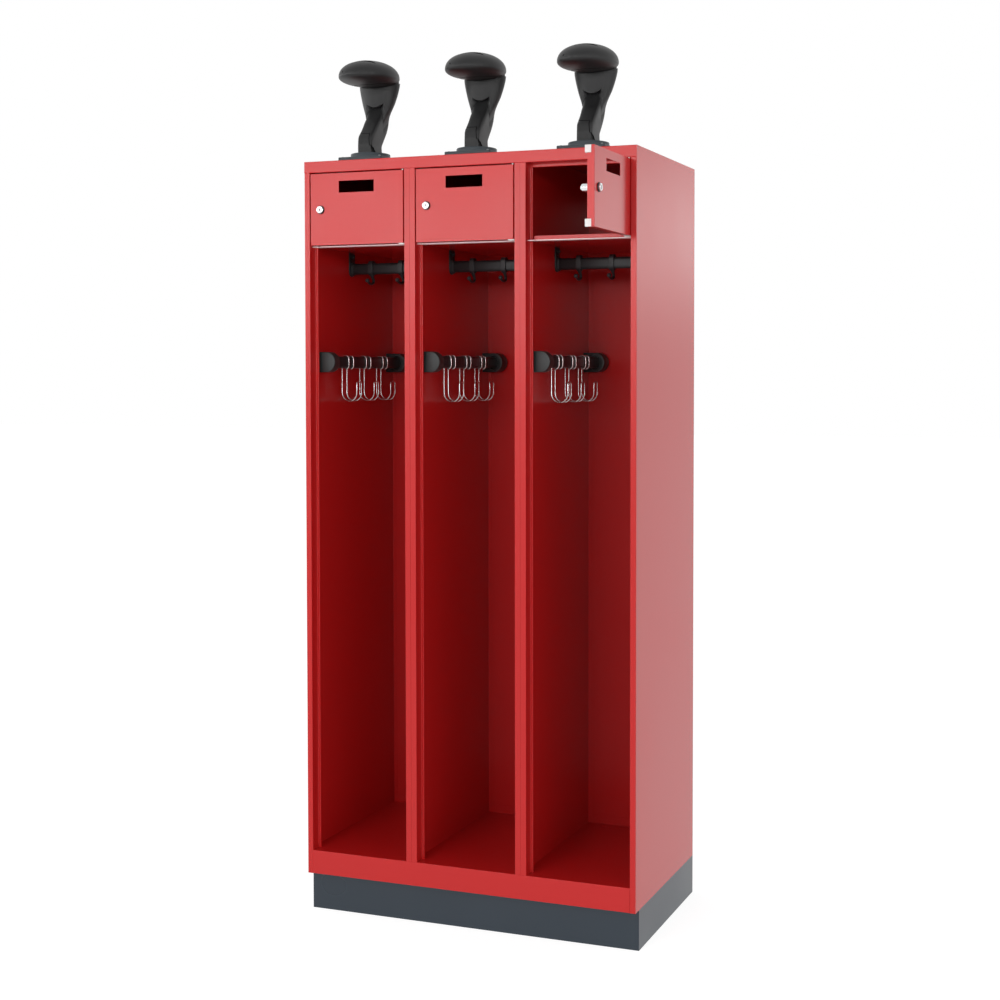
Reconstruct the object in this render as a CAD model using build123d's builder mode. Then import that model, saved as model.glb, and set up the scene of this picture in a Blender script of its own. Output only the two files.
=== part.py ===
from build123d import *
import os
from math import cos, radians, sin

# Carcass of folded steel sheet: bays side by side on a recessed plinth
bays = 3
bay_pitch = 300.0
locker_depth = 500.0
plinth_height = 100.0
body_height = 1850.0
sheet = 1.0
bend_radius = 1.5
overrun = 2.0
small_facets = 8
round_facets = 16
corner_facets = 2

locker_width = bays * bay_pitch
half_width = locker_width / 2
front = -locker_depth / 2
rear = locker_depth / 2
body_low = plinth_height
body_top = plinth_height + body_height

# Posts between the bays: face, reveal, door stop and the stop's return
post_face = 15.0
reveal_depth = 30.0
stop_width = 6.5
stop_return = 6.0
post_seam = 0.5
rear_flange = 10.0
opening_half = bay_pitch / 2 - post_face
stop_plane = front + reveal_depth
stop_end = stop_plane + stop_return
stop_reach = post_face + stop_width

# Sill, floor and header
sill_height = 61.0
sill_return = 30.0
floor_upstand = 22.0
header_height = 29.0
header_stop_drop = 9.0
floor_top = body_low + sill_height
header_low = body_top - header_height

# Slots in the floor that let wet gear drain and breathe
vent_count = 12
vent_pitch = 17.0
vent_length = 11.0
vent_width = 3.0
vent_from_rear = 30.0

# Plinth of channel section
plinth_sheet = 2.0
plinth_setback = 28.0
plinth_flange = 30.0

# Value compartment: shelf with a door stop lip and a pale edge strip
shelf_top = 1734.0
shelf_lip = 10.0
shelf_lip_end_gap = 4.5
shelf_rear_fold = 12.0
strip_height = 5.0
strip_depth = 16.0
strip_tongue = 10.0
strip_notch_from_edge = 18.0
strip_notch_width = 3.0

# Doors: folded pans on two vertical pins
door_side_gap = 3.0
door_height = 182.5
door_depth = 17.0
door_lip = 8.0
door_foot_gap = 1.0
door_angles = (0, 0, 90)
pin_radius = 1.75
pin_clearance = 0.05
pin_from_edge = 3.0
pin_from_face = 5.0
pin_engagement = 9.0
pin_foot_length = 17.5
pin_foot_width = 18.0
pin_foot_height = 1.6
slot_length = 100.0
slot_height = 30.0
slot_from_top = 20.0

# White corner bumpers on the free edge of each door
bumper_height = 17.5
bumper_grip = 9.5
bumper_reach = 9.0
bumper_wrap = 1.2
bumper_proud = 5.5

# Cam lock in each door
lock_from_edge = 29.4
lock_from_foot = 90.5
lock_collar_radius = 11.0
lock_collar_height = 3.0
lock_barrel_radius = 9.0
lock_barrel_proud = 6.5
lock_barrel_tail = 20.9
lock_plug_radius = 6.5
lock_plug_proud = 7.2
lock_fit = 0.05
key_slot_length = 9.0
key_slot_width = 2.0
key_slot_depth = 3.0
cam_length = 29.0
cam_width = 16.0
cam_thickness = 2.0
cam_nut_radius = 6.0
cam_nut_height = 1.6

# Upper rail across each bay, with its wall hangers
rail_height = 30.0
rail_width = 15.0
rail_wall = 1.5
upper_rail_z = 1689.0
upper_rail_y = 0.0
rail_seat_gap = 0.1
hanger_plate = 4.0
hanger_width = 30.0
hanger_socket = 10.0
hanger_socket_wall = 3.0
hanger_boss_radius = 5.0
hanger_boss_reach = 10.0
hanger_boss_drop = 11.0

# Hooks that slide on the upper rail
slide_hook_count = 3
slide_hook_pitch = 90.0
slide_hook_offset = 4.0
slide_gap = 0.3
collar_width = 14.0
collar_wall = 4.0
collar_crown = 7.0
slide_hook_width = 10.0
slide_hook_arm = 7.0
slide_hook_lean = 9.0
slide_hook_low = 44.0
slide_hook_tip_low = 33.0
slide_hook_tip_reach = 26.0
slide_hook_bend = 6.0
bead_radius = 6.0

# Side rail beside the left wall of each bay, in its two brackets
side_rail_height = 31.0
side_rail_width = 16.0
side_rail_z = 1435.0
side_rail_from_wall = 34.0
side_rail_start = 55.0
side_rail_end = 485.0
bracket_height = 53.0
bracket_front_face = 45.0
bracket_front_depth = 30.0
bracket_rear_face = 495.0
bracket_rear_depth = 40.0
bracket_rim = 6.0
bracket_recess = 8.0

# Double wire hooks that slide on the side rail
wire_radius = 2.0
wire_sides = 5
bend_steps = small_facets // 4
wire_gap = 0.3
wire_spacing = 26.0
wire_hook_count = 3
wire_hook_middle = 264.5
wire_hook_pitch = 99.5
hook_mouth = 44.0
hook_low_z = 1332.0
hook_tip_z = 1383.0
hook_tip_bend = 6.0
arc_share = 0.999

# Helmet holders on the roof: the neck's sections are shares of its height and of the head
holder_from_front = 80.0
plate_side = 125.0
plate_height = 10.0
plate_corner = 6.0
disc_radius = 51.0
disc_height = 11.7
disc_edge = 2.0
disc_gap = 0.3
pivot_radius = 10.0
pivot_height = 7.0
pivot_clearance = 0.05
head_half_width = 75.0
head_half_length = 110.0
head_crown = 46.0
head_belly = 26.0
head_gap = 0.2
head_latitudes = (-66, -36, 0, 24, 46, 64, 78)
neck_height = 190.0
neck_level_shares = (0, 0.116, 0.221, 0.305, 0.447, 0.553, 0.674, 0.768, 1)
neck_half_width_shares = (0.253, 0.253, 0.26, 0.267, 0.267, 0.453, 0.613, 0.713, 0.84)
neck_front_shares = (-0.264, -0.264, -0.264, -0.127, 0.136, 0.136, 0.127, 0.118, 0.1)
neck_rear_shares = (0.255, 0.255, 0.382, 0.473, 0.645, 0.727, 0.836, 0.891, 0.98)
neck_corner_shares = (0.2, 0.2, 0.2, 0.25, 0.5, 0.55, 0.8, 0.9, 0.95)
neck_kink = 4

shelf_low = shelf_top - sheet
door_width = 2 * (opening_half - door_side_gap)
door_low = shelf_top + door_foot_gap


def bay_centre(bay):
    """X of the middle of a bay, counted from the left."""
    return (bay - (bays - 1) / 2) * bay_pitch


def wall_planes():
    """X of the two outer sides and of every partition."""
    return [-half_width + bay * bay_pitch for bay in range(bays + 1)]


def wall_face(bay, hand):
    """X of the wall's surface inside a bay, on its left (hand -1) or right (hand 1)."""
    outer_wall = bay == 0 if hand < 0 else bay == bays - 1
    thickness = sheet if outer_wall else sheet / 2
    return bay_centre(bay) + hand * (bay_pitch / 2 - thickness)


def folded(points, side):
    """A sheet folded along these points, with its thickness on the given side."""
    with BuildLine() as section:
        FilletPolyline(*points, radius=bend_radius)
        offset(amount=sheet, side=side)
    make_face(section.edges())


def block(low, high, mode=Mode.ADD):
    """A box between two opposite corners."""
    size = [top - base for base, top in zip(low, high)]
    middle = tuple((base + top) / 2 for base, top in zip(low, high))
    with Locations(middle):
        Box(*size, mode=mode)


def oval(height, width):
    """A standing oval, its two ends worked in flats."""
    with BuildSketch() as outline:
        with Locations((0, (height - width) / 2), (0, (width - height) / 2)):
            RegularPolygon(width / 2, small_facets)
        make_hull()
    return outline.sketch


def flat_sided(half_x, half_y, corner, facets):
    """Corner points of a rectangle whose round corners are worked in flats."""
    points = []
    for quarter, (side_x, side_y) in enumerate(((1, 1), (-1, 1), (-1, -1), (1, -1))):
        for step in range(facets + 1):
            angle = radians(90 * (quarter + step / facets))
            x = side_x * (half_x - corner) + corner * cos(angle)
            y = side_y * (half_y - corner) + corner * sin(angle)
            points.append((x, y))
    return points


def save(piece, name):
    """Label a finished piece and write it under its name."""
    piece.label = name
    export_step(piece, f"parts/{name}.step")


os.makedirs("parts", exist_ok=True)

# Plinth: a welded ring of channel with a brace across its middle
plinth_length = locker_depth - plinth_setback
plinth_middle = (front + plinth_setback + rear) / 2
with BuildPart() as plinth:
    for level in (0, plinth_height - plinth_sheet):
        with BuildSketch(Plane.XY.offset(level)):
            with Locations((0, plinth_middle)):
                Rectangle(locker_width, plinth_length)
                Rectangle(
                    locker_width - 2 * plinth_flange,
                    plinth_length - 2 * plinth_flange,
                    mode=Mode.SUBTRACT,
                )
            Rectangle(locker_width, 2 * plinth_flange)
        extrude(amount=plinth_sheet)
    with BuildSketch():
        with Locations((0, plinth_middle)):
            Rectangle(locker_width, plinth_length)
            Rectangle(
                locker_width - 2 * plinth_sheet,
                plinth_length - 2 * plinth_sheet,
                mode=Mode.SUBTRACT,
            )
        Rectangle(locker_width, plinth_sheet)
    extrude(amount=plinth_height)
save(plinth.part, "plinth")

# Floor pan: sill, floor and rear upstand in one folded tray
with BuildPart() as floor_pan:
    upstand_face = rear - 3 * sheet
    with BuildSketch(Plane.YZ.offset(-half_width + sheet)):
        folded(
            [
                (front + sill_return, body_low),
                (front, body_low),
                (front, floor_top),
                (upstand_face, floor_top),
                (upstand_face, floor_top + floor_upstand),
            ],
            Side.RIGHT,
        )
    extrude(amount=locker_width - 2 * sheet)
    for hand in (-1, 1):
        corner = sorted((hand * (half_width - post_face), hand * (half_width + overrun)))
        block(
            (corner[0], front - overrun, body_low - overrun),
            (corner[1], stop_plane + 2 * sheet, floor_top + overrun),
            Mode.SUBTRACT,
        )
    for wall in wall_planes():
        block(
            (wall - sheet - bend_radius, upstand_face - overrun, floor_top),
            (wall + sheet + bend_radius, rear, floor_top + floor_upstand + overrun),
            Mode.SUBTRACT,
        )
    with BuildSketch(Plane.XY.offset(floor_top - sheet - overrun)):
        for bay in range(bays):
            with Locations((bay_centre(bay), rear - vent_from_rear)):
                with GridLocations(vent_pitch, vent_pitch, vent_count, 1):
                    Rectangle(vent_length, vent_width)
    extrude(amount=sheet + 2 * overrun, mode=Mode.SUBTRACT)
save(floor_pan.part, "floor_pan")

# Roof panel: top sheet, header face and the door stop above each bay
with BuildPart() as roof_panel:
    with BuildSketch(Plane.YZ.offset(-half_width)):
        folded(
            [
                (rear, body_top),
                (front, body_top),
                (front, header_low),
                (stop_plane, header_low),
                (stop_plane, header_low - header_stop_drop),
                (stop_end, header_low - header_stop_drop),
            ],
            Side.LEFT,
        )
    extrude(amount=locker_width)
    for hand in (-1, 1):
        web = sorted((hand * (half_width - sheet), hand * (half_width + overrun)))
        block(
            (web[0], front + sheet, header_low - overrun),
            (web[1], rear + overrun, body_top - sheet),
            Mode.SUBTRACT,
        )
    for wall in wall_planes():
        block(
            (wall - stop_reach, front - overrun, header_low - header_stop_drop - overrun),
            (wall + stop_reach, stop_end + overrun, header_low),
            Mode.SUBTRACT,
        )
save(roof_panel.part, "roof_panel")

# Side panels: front post, side and rear flange folded from one sheet
for hand, name in ((-1, "left_side_panel"), (1, "right_side_panel")):
    with BuildPart() as side_panel:
        opening_edge = hand * (half_width - post_face)
        stop_edge = opening_edge - hand * stop_width
        with BuildSketch(Plane.XY.offset(body_low)):
            folded(
                [
                    (stop_edge, stop_end),
                    (stop_edge, stop_plane),
                    (opening_edge, stop_plane),
                    (opening_edge, front),
                    (hand * half_width, front),
                    (hand * half_width, rear - sheet),
                    (hand * (half_width - rear_flange), rear - sheet),
                ],
                Side.RIGHT if hand < 0 else Side.LEFT,
            )
        extrude(amount=body_height - sheet)
        across = sorted((opening_edge, stop_edge - hand * overrun))
        block(
            (across[0], stop_plane - overrun, body_low - overrun),
            (across[1], stop_end + overrun, floor_top),
            Mode.SUBTRACT,
        )
        across = sorted((hand * (half_width - sheet), stop_edge - hand * overrun))
        block(
            (across[0], front - overrun, header_low),
            (across[1], stop_end + overrun, body_top),
            Mode.SUBTRACT,
        )
        across = sorted((hand * (half_width + overrun), opening_edge))
        block(
            (across[0], front - overrun, header_low),
            (across[1], front + sheet, body_top),
            Mode.SUBTRACT,
        )
    save(side_panel.part, name)

# Back panel: one flat sheet
with BuildPart() as back_panel:
    block((-half_width, rear - sheet, body_low), (half_width, rear, body_top - sheet))
save(back_panel.part, "back_panel")

# Partitions and the pair of folded profiles that make each middle post
for number, wall in enumerate(wall_planes()[1:-1], start=1):
    with BuildPart() as partition:
        with BuildSketch(Plane.XY.offset(floor_top)):
            folded(
                [
                    (wall - sheet / 2, front + sheet),
                    (wall - sheet / 2, rear - sheet),
                    (wall + rear_flange, rear - sheet),
                ],
                Side.RIGHT,
            )
        extrude(amount=body_top - sheet - floor_top)
        block(
            (wall - overrun, front, header_low),
            (wall + overrun, stop_plane + 2 * sheet, body_top),
            Mode.SUBTRACT,
        )
    save(partition.part, f"partition_{number}")

    with BuildPart() as middle_post:
        for hand in (-1, 1):
            with BuildSketch(Plane.XY.offset(floor_top)):
                folded(
                    [
                        (wall + hand * post_seam / 2, front),
                        (wall + hand * post_face, front),
                        (wall + hand * post_face, stop_plane),
                        (wall + hand * stop_reach, stop_plane),
                        (wall + hand * stop_reach, stop_end),
                    ],
                    Side.LEFT if hand > 0 else Side.RIGHT,
                )
            extrude(amount=header_low - floor_top)
    save(middle_post.part, f"middle_post_{number}")

# Value shelves, one welded into the top of each bay
for bay in range(bays):
    left = wall_face(bay, -1)
    right = wall_face(bay, 1)
    shelf_rear = rear - 2 * sheet - bend_radius
    with BuildPart() as value_shelf:
        with BuildSketch(Plane.YZ.offset(left)):
            folded(
                [
                    (shelf_rear, shelf_top - shelf_rear_fold),
                    (shelf_rear, shelf_top),
                    (stop_plane + sheet, shelf_top),
                    (stop_plane + sheet, shelf_top + shelf_lip),
                ],
                Side.LEFT,
            )
        extrude(amount=right - left)
        for hand in (-1, 1):
            post = bay_centre(bay) + hand * bay_pitch / 2
            notch = sorted((post, post - hand * (stop_reach + shelf_lip_end_gap)))
            block(
                (notch[0], front, shelf_low - overrun),
                (notch[1], stop_end + sheet, shelf_top + shelf_lip + overrun),
                Mode.SUBTRACT,
            )
    save(value_shelf.part, f"value_shelf_{bay + 1}")

# Edge strips: pale bars under the doors, with a tongue beneath each shelf
with BuildPart() as shelf_edge_strips:
    strip_low = shelf_low - strip_height
    for bay in range(bays):
        left = bay_centre(bay) - opening_half
        right = bay_centre(bay) + opening_half
        bar_rear = stop_plane - bend_radius
        block((left, stop_plane - strip_depth, strip_low), (right, bar_rear, shelf_low))
        block(
            (left + stop_width, bar_rear, strip_low),
            (right - stop_width, stop_plane + strip_tongue, shelf_low),
        )
        notch = left + strip_notch_from_edge
        block(
            (notch, front, strip_low - overrun),
            (notch + strip_notch_width, bar_rear, shelf_low + overrun),
            Mode.SUBTRACT,
        )
save(shelf_edge_strips.part, "shelf_edge_strips")


def hinge_point(bay, z):
    """A point on the hinge line of a bay's door."""
    edge = bay_centre(bay) + opening_half - door_side_gap
    return Vector(edge - pin_from_edge, front + pin_from_face, z)


def door_plane(bay, depth=0):
    """The door's own front plane, moved back by depth: x towards the hinge, y up, z out."""
    angle = radians(door_angles[bay])
    outward = Vector(sin(angle), -cos(angle), 0)
    origin = hinge_point(bay, door_low) + outward * (pin_from_face - depth)
    return Plane(origin=origin, x_dir=(cos(angle), sin(angle), 0), z_dir=outward)


door_right = pin_from_edge
door_left = door_right - door_width
door_middle = (door_left + door_right) / 2

# Hinge pins: a foot on the edge strip and a stub under the header for each door
door_top = door_low + door_height
with BuildPart() as hinge_pins:
    for bay in range(bays):
        foot = hinge_point(bay, shelf_low)
        foot_end = bay_centre(bay) + opening_half
        foot_front = foot.Y - pin_radius
        block(
            (foot_end - pin_foot_length, foot_front, shelf_low),
            (foot_end, foot_front + pin_foot_width, shelf_low + pin_foot_height),
        )
        with BuildSketch(Plane.XY.offset(shelf_low)):
            with Locations((foot.X, foot.Y)):
                RegularPolygon(pin_radius, small_facets)
        extrude(amount=door_low - shelf_low + pin_engagement)
        with BuildSketch(Plane.XY.offset(header_low)):
            with Locations((foot.X, foot.Y)):
                RegularPolygon(pin_radius, small_facets)
        extrude(amount=door_top - header_low - pin_engagement)
save(hinge_pins.part, "hinge_pins")

for bay in range(bays):
    lock_x = door_left + lock_from_edge
    barrel_end = door_depth + lock_barrel_tail
    cam_face = barrel_end + lock_fit

    # Door: a folded pan with a label slot, pierced for the pins and the lock
    with BuildPart() as door:
        with BuildSketch(door_plane(bay)):
            with Locations((door_middle, door_height / 2)):
                Rectangle(door_width, door_height)
        extrude(amount=-door_depth)
        uprights = door.edges().filter_by(Axis.Z)
        outward = Axis((0, 0, 0), door_plane(bay).z_dir)
        fillet(uprights.sort_by(outward)[-2:], radius=bend_radius)
        with BuildSketch(door_plane(bay, sheet)):
            with Locations((door_middle, door_height / 2)):
                Rectangle(door_width - 2 * sheet, door_height - 2 * sheet)
        extrude(amount=-(door_depth - 2 * sheet), mode=Mode.SUBTRACT)
        with BuildSketch(door_plane(bay, door_depth - sheet - overrun)):
            with Locations((door_middle, door_height / 2)):
                Rectangle(door_width - 2 * door_lip, door_height - 2 * door_lip)
        extrude(amount=-(sheet + 2 * overrun), mode=Mode.SUBTRACT)
        with BuildSketch(door_plane(bay, -overrun)):
            with Locations((door_middle, door_height - slot_from_top - slot_height / 2)):
                Rectangle(slot_length, slot_height)
            with Locations((lock_x, lock_from_foot)):
                RegularPolygon(lock_barrel_radius + lock_fit, round_facets, major_radius=False)
        extrude(amount=-(sheet + 2 * overrun), mode=Mode.SUBTRACT)
        hinge_foot = hinge_point(bay, door_low)
        with BuildSketch(Plane.XY.offset(door_low - overrun)):
            with Locations((hinge_foot.X, hinge_foot.Y)):
                RegularPolygon(pin_radius + pin_clearance, small_facets, major_radius=False)
        extrude(amount=door_height + 2 * overrun, mode=Mode.SUBTRACT)
    save(door.part, f"door_{bay + 1}")

    # Bumpers: white clips over the two free corners of the door
    with BuildPart() as door_bumpers:
        for low in (0, door_height - bumper_height):
            with BuildSketch(door_plane(bay, door_depth)):
                with Locations((door_left - bumper_wrap, low)):
                    Rectangle(bumper_wrap + bumper_reach, bumper_height, align=(Align.MIN, Align.MIN))
            extrude(amount=-bumper_proud)
            with BuildSketch(door_plane(bay, door_depth)):
                with Locations((door_left - bumper_wrap, low)):
                    Rectangle(bumper_wrap, bumper_height, align=(Align.MIN, Align.MIN))
            extrude(amount=bumper_grip)
    save(door_bumpers.part, f"door_bumpers_{bay + 1}")

    # Lock body: black collar outside, bright barrel through the door
    with BuildPart() as lock_body:
        with BuildSketch(door_plane(bay)):
            with Locations((lock_x, lock_from_foot)):
                RegularPolygon(lock_collar_radius, round_facets)
        extrude(amount=lock_collar_height)
        with BuildSketch(door_plane(bay, -lock_barrel_proud)):
            with Locations((lock_x, lock_from_foot)):
                RegularPolygon(lock_barrel_radius, round_facets)
        extrude(amount=-(lock_barrel_proud + barrel_end))
        with BuildSketch(door_plane(bay, -lock_barrel_proud - overrun)):
            with Locations((lock_x, lock_from_foot)):
                RegularPolygon(lock_plug_radius + lock_fit, round_facets, major_radius=False)
        extrude(amount=-(lock_barrel_proud + barrel_end + 2 * overrun), mode=Mode.SUBTRACT)
    save(lock_body.part, f"lock_body_{bay + 1}")

    # Lock plug: the keyed cylinder with its cam and nut at the rear
    with BuildPart() as lock_plug:
        with BuildSketch(door_plane(bay, -lock_plug_proud)):
            with Locations((lock_x, lock_from_foot)):
                RegularPolygon(lock_plug_radius, round_facets)
        extrude(amount=-(lock_plug_proud + cam_face))
        with BuildSketch(door_plane(bay, cam_face)):
            with Locations((lock_x, lock_from_foot)):
                RegularPolygon(cam_width / 2, round_facets)
            with Locations((lock_x + cam_length / 2, lock_from_foot)):
                Rectangle(cam_length, cam_width)
        extrude(amount=-cam_thickness)
        with BuildSketch(door_plane(bay, cam_face + cam_thickness)):
            with Locations((lock_x, lock_from_foot)):
                RegularPolygon(cam_nut_radius, wire_sides)
        extrude(amount=-cam_nut_height)
        with BuildSketch(door_plane(bay, -lock_plug_proud)):
            with Locations((lock_x, lock_from_foot)):
                Rectangle(key_slot_width, key_slot_length)
        extrude(amount=-key_slot_depth, mode=Mode.SUBTRACT)
    save(lock_plug.part, f"lock_plug_{bay + 1}")

# Upper rails: oval wardrobe tube across each bay
with BuildPart() as upper_rails:
    for bay in range(bays):
        start = wall_face(bay, -1) + hanger_plate
        length = wall_face(bay, 1) - hanger_plate - start
        with BuildSketch(Plane.YZ.offset(start)):
            with Locations((upper_rail_y, upper_rail_z)):
                add(oval(rail_height, rail_width))
                add(oval(rail_height - 2 * rail_wall, rail_width - 2 * rail_wall), mode=Mode.SUBTRACT)
        extrude(amount=length)
save(upper_rails.part, "upper_rails")

# Rail hangers: moulded plates on the walls that carry the rail's ends
with BuildPart() as rail_hangers:
    for bay in range(bays):
        for hand in (-1, 1):
            wall = wall_face(bay, hand)
            inward = Plane(origin=(wall, upper_rail_y, upper_rail_z), x_dir=(0, 1, 0), z_dir=(-hand, 0, 0))
            up = 1 if inward.y_dir.Z > 0 else -1
            hanger_rise = shelf_low - upper_rail_z
            with BuildSketch(inward):
                with Locations((0, up * hanger_rise / 2)):
                    Rectangle(hanger_width, hanger_rise)
                add(oval(rail_height + 4 * hanger_socket_wall, hanger_width))
            extrude(amount=hanger_plate)
            with BuildSketch(inward):
                add(oval(rail_height + 2 * hanger_socket_wall, rail_width + 2 * hanger_socket_wall))
            extrude(amount=hanger_socket)
            with BuildSketch(inward.offset(hanger_plate)):
                add(oval(rail_height + 2 * rail_seat_gap, rail_width + 2 * rail_seat_gap))
            extrude(amount=hanger_socket, mode=Mode.SUBTRACT)
            with BuildSketch(inward):
                with Locations((0, up * (hanger_rise - hanger_boss_drop))):
                    RegularPolygon(hanger_boss_radius, small_facets)
            extrude(amount=hanger_boss_reach)
save(rail_hangers.part, "rail_hangers")

# Slide hooks: a collar on the oval tube, with an arm that ends in a bead
for bay in range(bays):
    for number in range(slide_hook_count):
        step = number - (slide_hook_count - 1) / 2
        hook_x = bay_centre(bay) + slide_hook_offset + step * slide_hook_pitch
        arm_start = upper_rail_z - rail_height / 2 - collar_wall / 2
        arm_low = upper_rail_z - slide_hook_low + slide_hook_arm / 2
        tip = (upper_rail_y - slide_hook_tip_reach, upper_rail_z - slide_hook_tip_low)
        with BuildPart() as slide_hook:
            with BuildSketch(Plane.YZ.offset(hook_x - collar_width / 2)):
                with Locations((upper_rail_y, upper_rail_z + (collar_crown - collar_wall) / 2)):
                    add(oval(rail_height + collar_crown + collar_wall, rail_width + 2 * collar_wall))
            extrude(amount=collar_width)
            with BuildSketch(Plane.YZ.offset(hook_x - slide_hook_width / 2)):
                with BuildLine():
                    Polyline(
                        (upper_rail_y, arm_start),
                        (upper_rail_y + slide_hook_lean, arm_start - slide_hook_lean),
                        (upper_rail_y + slide_hook_lean, arm_low + slide_hook_bend),
                        (upper_rail_y + slide_hook_lean - slide_hook_bend, arm_low),
                        (upper_rail_y - slide_hook_lean, arm_low),
                        tip,
                    )
                trace(line_width=slide_hook_arm)
                with Locations(tip):
                    RegularPolygon(bead_radius, small_facets)
            extrude(amount=slide_hook_width)
            with BuildSketch(Plane.YZ.offset(hook_x - collar_width / 2 - overrun)):
                with Locations((upper_rail_y, upper_rail_z)):
                    add(oval(rail_height + 2 * slide_gap, rail_width + 2 * slide_gap))
            extrude(amount=collar_width + 2 * overrun, mode=Mode.SUBTRACT)
        save(slide_hook.part, f"slide_hook_{bay + 1}_{number + 1}")

# Side rails: oval tube from front to rear beside each left wall
with BuildPart() as side_rails:
    for bay in range(bays):
        rail_x = wall_face(bay, -1) + side_rail_from_wall
        with BuildSketch(Plane.XZ.offset(-front - side_rail_start)):
            with Locations((rail_x, side_rail_z)):
                add(oval(side_rail_height, side_rail_width))
                add(
                    oval(side_rail_height - 2 * rail_wall, side_rail_width - 2 * rail_wall),
                    mode=Mode.SUBTRACT,
                )
        extrude(amount=side_rail_start - side_rail_end)
save(side_rails.part, "side_rails")

# Side rail brackets: D-shaped mouldings on the wall, recessed round the tube
bracket_places = (
    (bracket_front_face, bracket_front_depth, 1),
    (bracket_rear_face, bracket_rear_depth, -1),
)
with BuildPart() as side_rail_brackets:
    for bay in range(bays):
        wall = wall_face(bay, -1)
        rail_x = wall + side_rail_from_wall
        for face, depth, inward in bracket_places:
            with BuildSketch(Plane.XZ.offset(-front - face)):
                with Locations((rail_x, side_rail_z)):
                    RegularPolygon(bracket_height / 2, round_facets)
                with Locations((wall + side_rail_from_wall / 2, side_rail_z)):
                    Rectangle(side_rail_from_wall, bracket_height)
            extrude(amount=-inward * depth)
            with BuildSketch(Plane.XZ.offset(-front - face - inward * depth)):
                with Locations((rail_x, side_rail_z)):
                    RegularPolygon(bracket_height / 2 - bracket_rim, round_facets)
            extrude(amount=inward * bracket_recess, mode=Mode.SUBTRACT)
        with BuildSketch(Plane.XZ.offset(-front - side_rail_start)):
            with Locations((rail_x, side_rail_z)):
                add(oval(side_rail_height + 2 * rail_seat_gap, side_rail_width + 2 * rail_seat_gap))
        extrude(amount=side_rail_start - side_rail_end, mode=Mode.SUBTRACT)
save(side_rail_brackets.part, "side_rail_brackets")


def stepped(line):
    """The corners of a bent line, with each bend in a few straight steps."""
    corners = []
    for edge in line.edges():
        steps = bend_steps if edge.geom_type == GeomType.CIRCLE else 1
        if edge.length > wire_radius:
            corners += [edge @ (step / steps) for step in range(steps)]
    return corners + [line @ 1]


def flat_face(*corners):
    """A flat face between its corner points."""
    return Face(Wire.make_polygon(corners))


def mitred_bar(corners, radius, sides):
    """A bent bar with flat sides, mitred in the plane that halves each bend."""
    runs = [(end - start).normalized() for start, end in zip(corners, corners[1:])]
    base = Plane(origin=corners[0], z_dir=runs[0])
    turns = [radians(step * 360 / sides) for step in range(sides)]
    ring = [base.from_local_coords((radius * cos(turn), radius * sin(turn), 0)) for turn in turns]
    rings = []
    for corner, run, following in zip(corners, runs[:1] + runs, runs + runs[-1:]):
        halving = run + following
        ring = [point + run * ((corner - point).dot(halving) / run.dot(halving)) for point in ring]
        rings.append(ring)
    faces = [flat_face(*rings[0]), flat_face(*rings[-1])]
    for near, far in zip(rings, rings[1:]):
        for side in range(sides):
            faces.append(flat_face(near[side - 1], near[side], far[side], far[side - 1]))
    return Solid(Shell(faces))


# Wire hooks: one bent wire each, looped over the tube and round to a double hook
loop_half = side_rail_width / 2 + wire_gap + wire_radius
loop_rise = side_rail_height / 2 + wire_gap + wire_radius
bends = [loop_half, loop_half, loop_half, hook_mouth / 2, hook_mouth / 2]
bends = [arc_share * bend for bend in bends + [hook_tip_bend, hook_tip_bend] + bends[::-1]]
half_route = [
    (0, side_rail_z - loop_rise),
    (loop_half, side_rail_z - loop_rise),
    (loop_half, side_rail_z + loop_rise),
    (-loop_half, side_rail_z + loop_rise),
    (-loop_half, hook_low_z),
    (hook_mouth - loop_half, hook_low_z),
    (hook_mouth - loop_half, hook_tip_z),
]
route = [(x, -wire_spacing / 2, z) for x, z in half_route]
route += [(x, wire_spacing / 2, z) for x, z in reversed(half_route)]
with BuildLine() as bent_route:
    FilletPolyline(*route, radius=bends)
bent_wire = mitred_bar(stepped(bent_route.wire()), wire_radius, wire_sides)

for bay in range(bays):
    for number in range(wire_hook_count):
        step = number - (wire_hook_count - 1) / 2
        hook_y = front + wire_hook_middle + step * wire_hook_pitch
        with BuildPart() as wire_hook:
            with Locations((wall_face(bay, -1) + side_rail_from_wall, hook_y, 0)):
                add(bent_wire)
        save(wire_hook.part, f"wire_hook_{bay + 1}_{number + 1}")

# Helmet holder plates: square feet on the roof, each with its pivot
holder_y = front + holder_from_front
plate_top = body_top + plate_height
with BuildPart() as helmet_plates:
    for bay in range(bays):
        with BuildSketch(Plane.XY.offset(body_top)):
            with Locations((bay_centre(bay), holder_y)):
                corners = flat_sided(plate_side / 2, plate_side / 2, plate_corner, corner_facets)
                Polygon(*corners, align=None)
        extrude(amount=plate_height)
        with BuildSketch(Plane.XY.offset(plate_top)):
            with Locations((bay_centre(bay), holder_y)):
                RegularPolygon(pivot_radius, round_facets)
        extrude(amount=pivot_height)
save(helmet_plates.part, "helmet_plates")

disc_low = plate_top + disc_gap
disc_top = disc_low + disc_height


def head_shape(centre_x, grow=0):
    """The helmet rest: a dome over a flatter belly, grown all round by a gap."""
    girth_z = disc_top + neck_height + head_gap
    with BuildPart() as head:
        for latitude in head_latitudes:
            height = head_crown if latitude > 0 else head_belly
            level = girth_z + (height + grow) * sin(radians(latitude))
            size = cos(radians(latitude))
            half_x = size * (head_half_width + grow)
            half_y = size * (head_half_length + grow)
            turns = [radians(step * 360 / round_facets) for step in range(round_facets)]
            with BuildSketch(Plane.XY.offset(level)):
                with Locations((centre_x, holder_y)):
                    Polygon(*[(half_x * cos(turn), half_y * sin(turn)) for turn in turns], align=None)
        loft(ruled=True)
    return head.part


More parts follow.
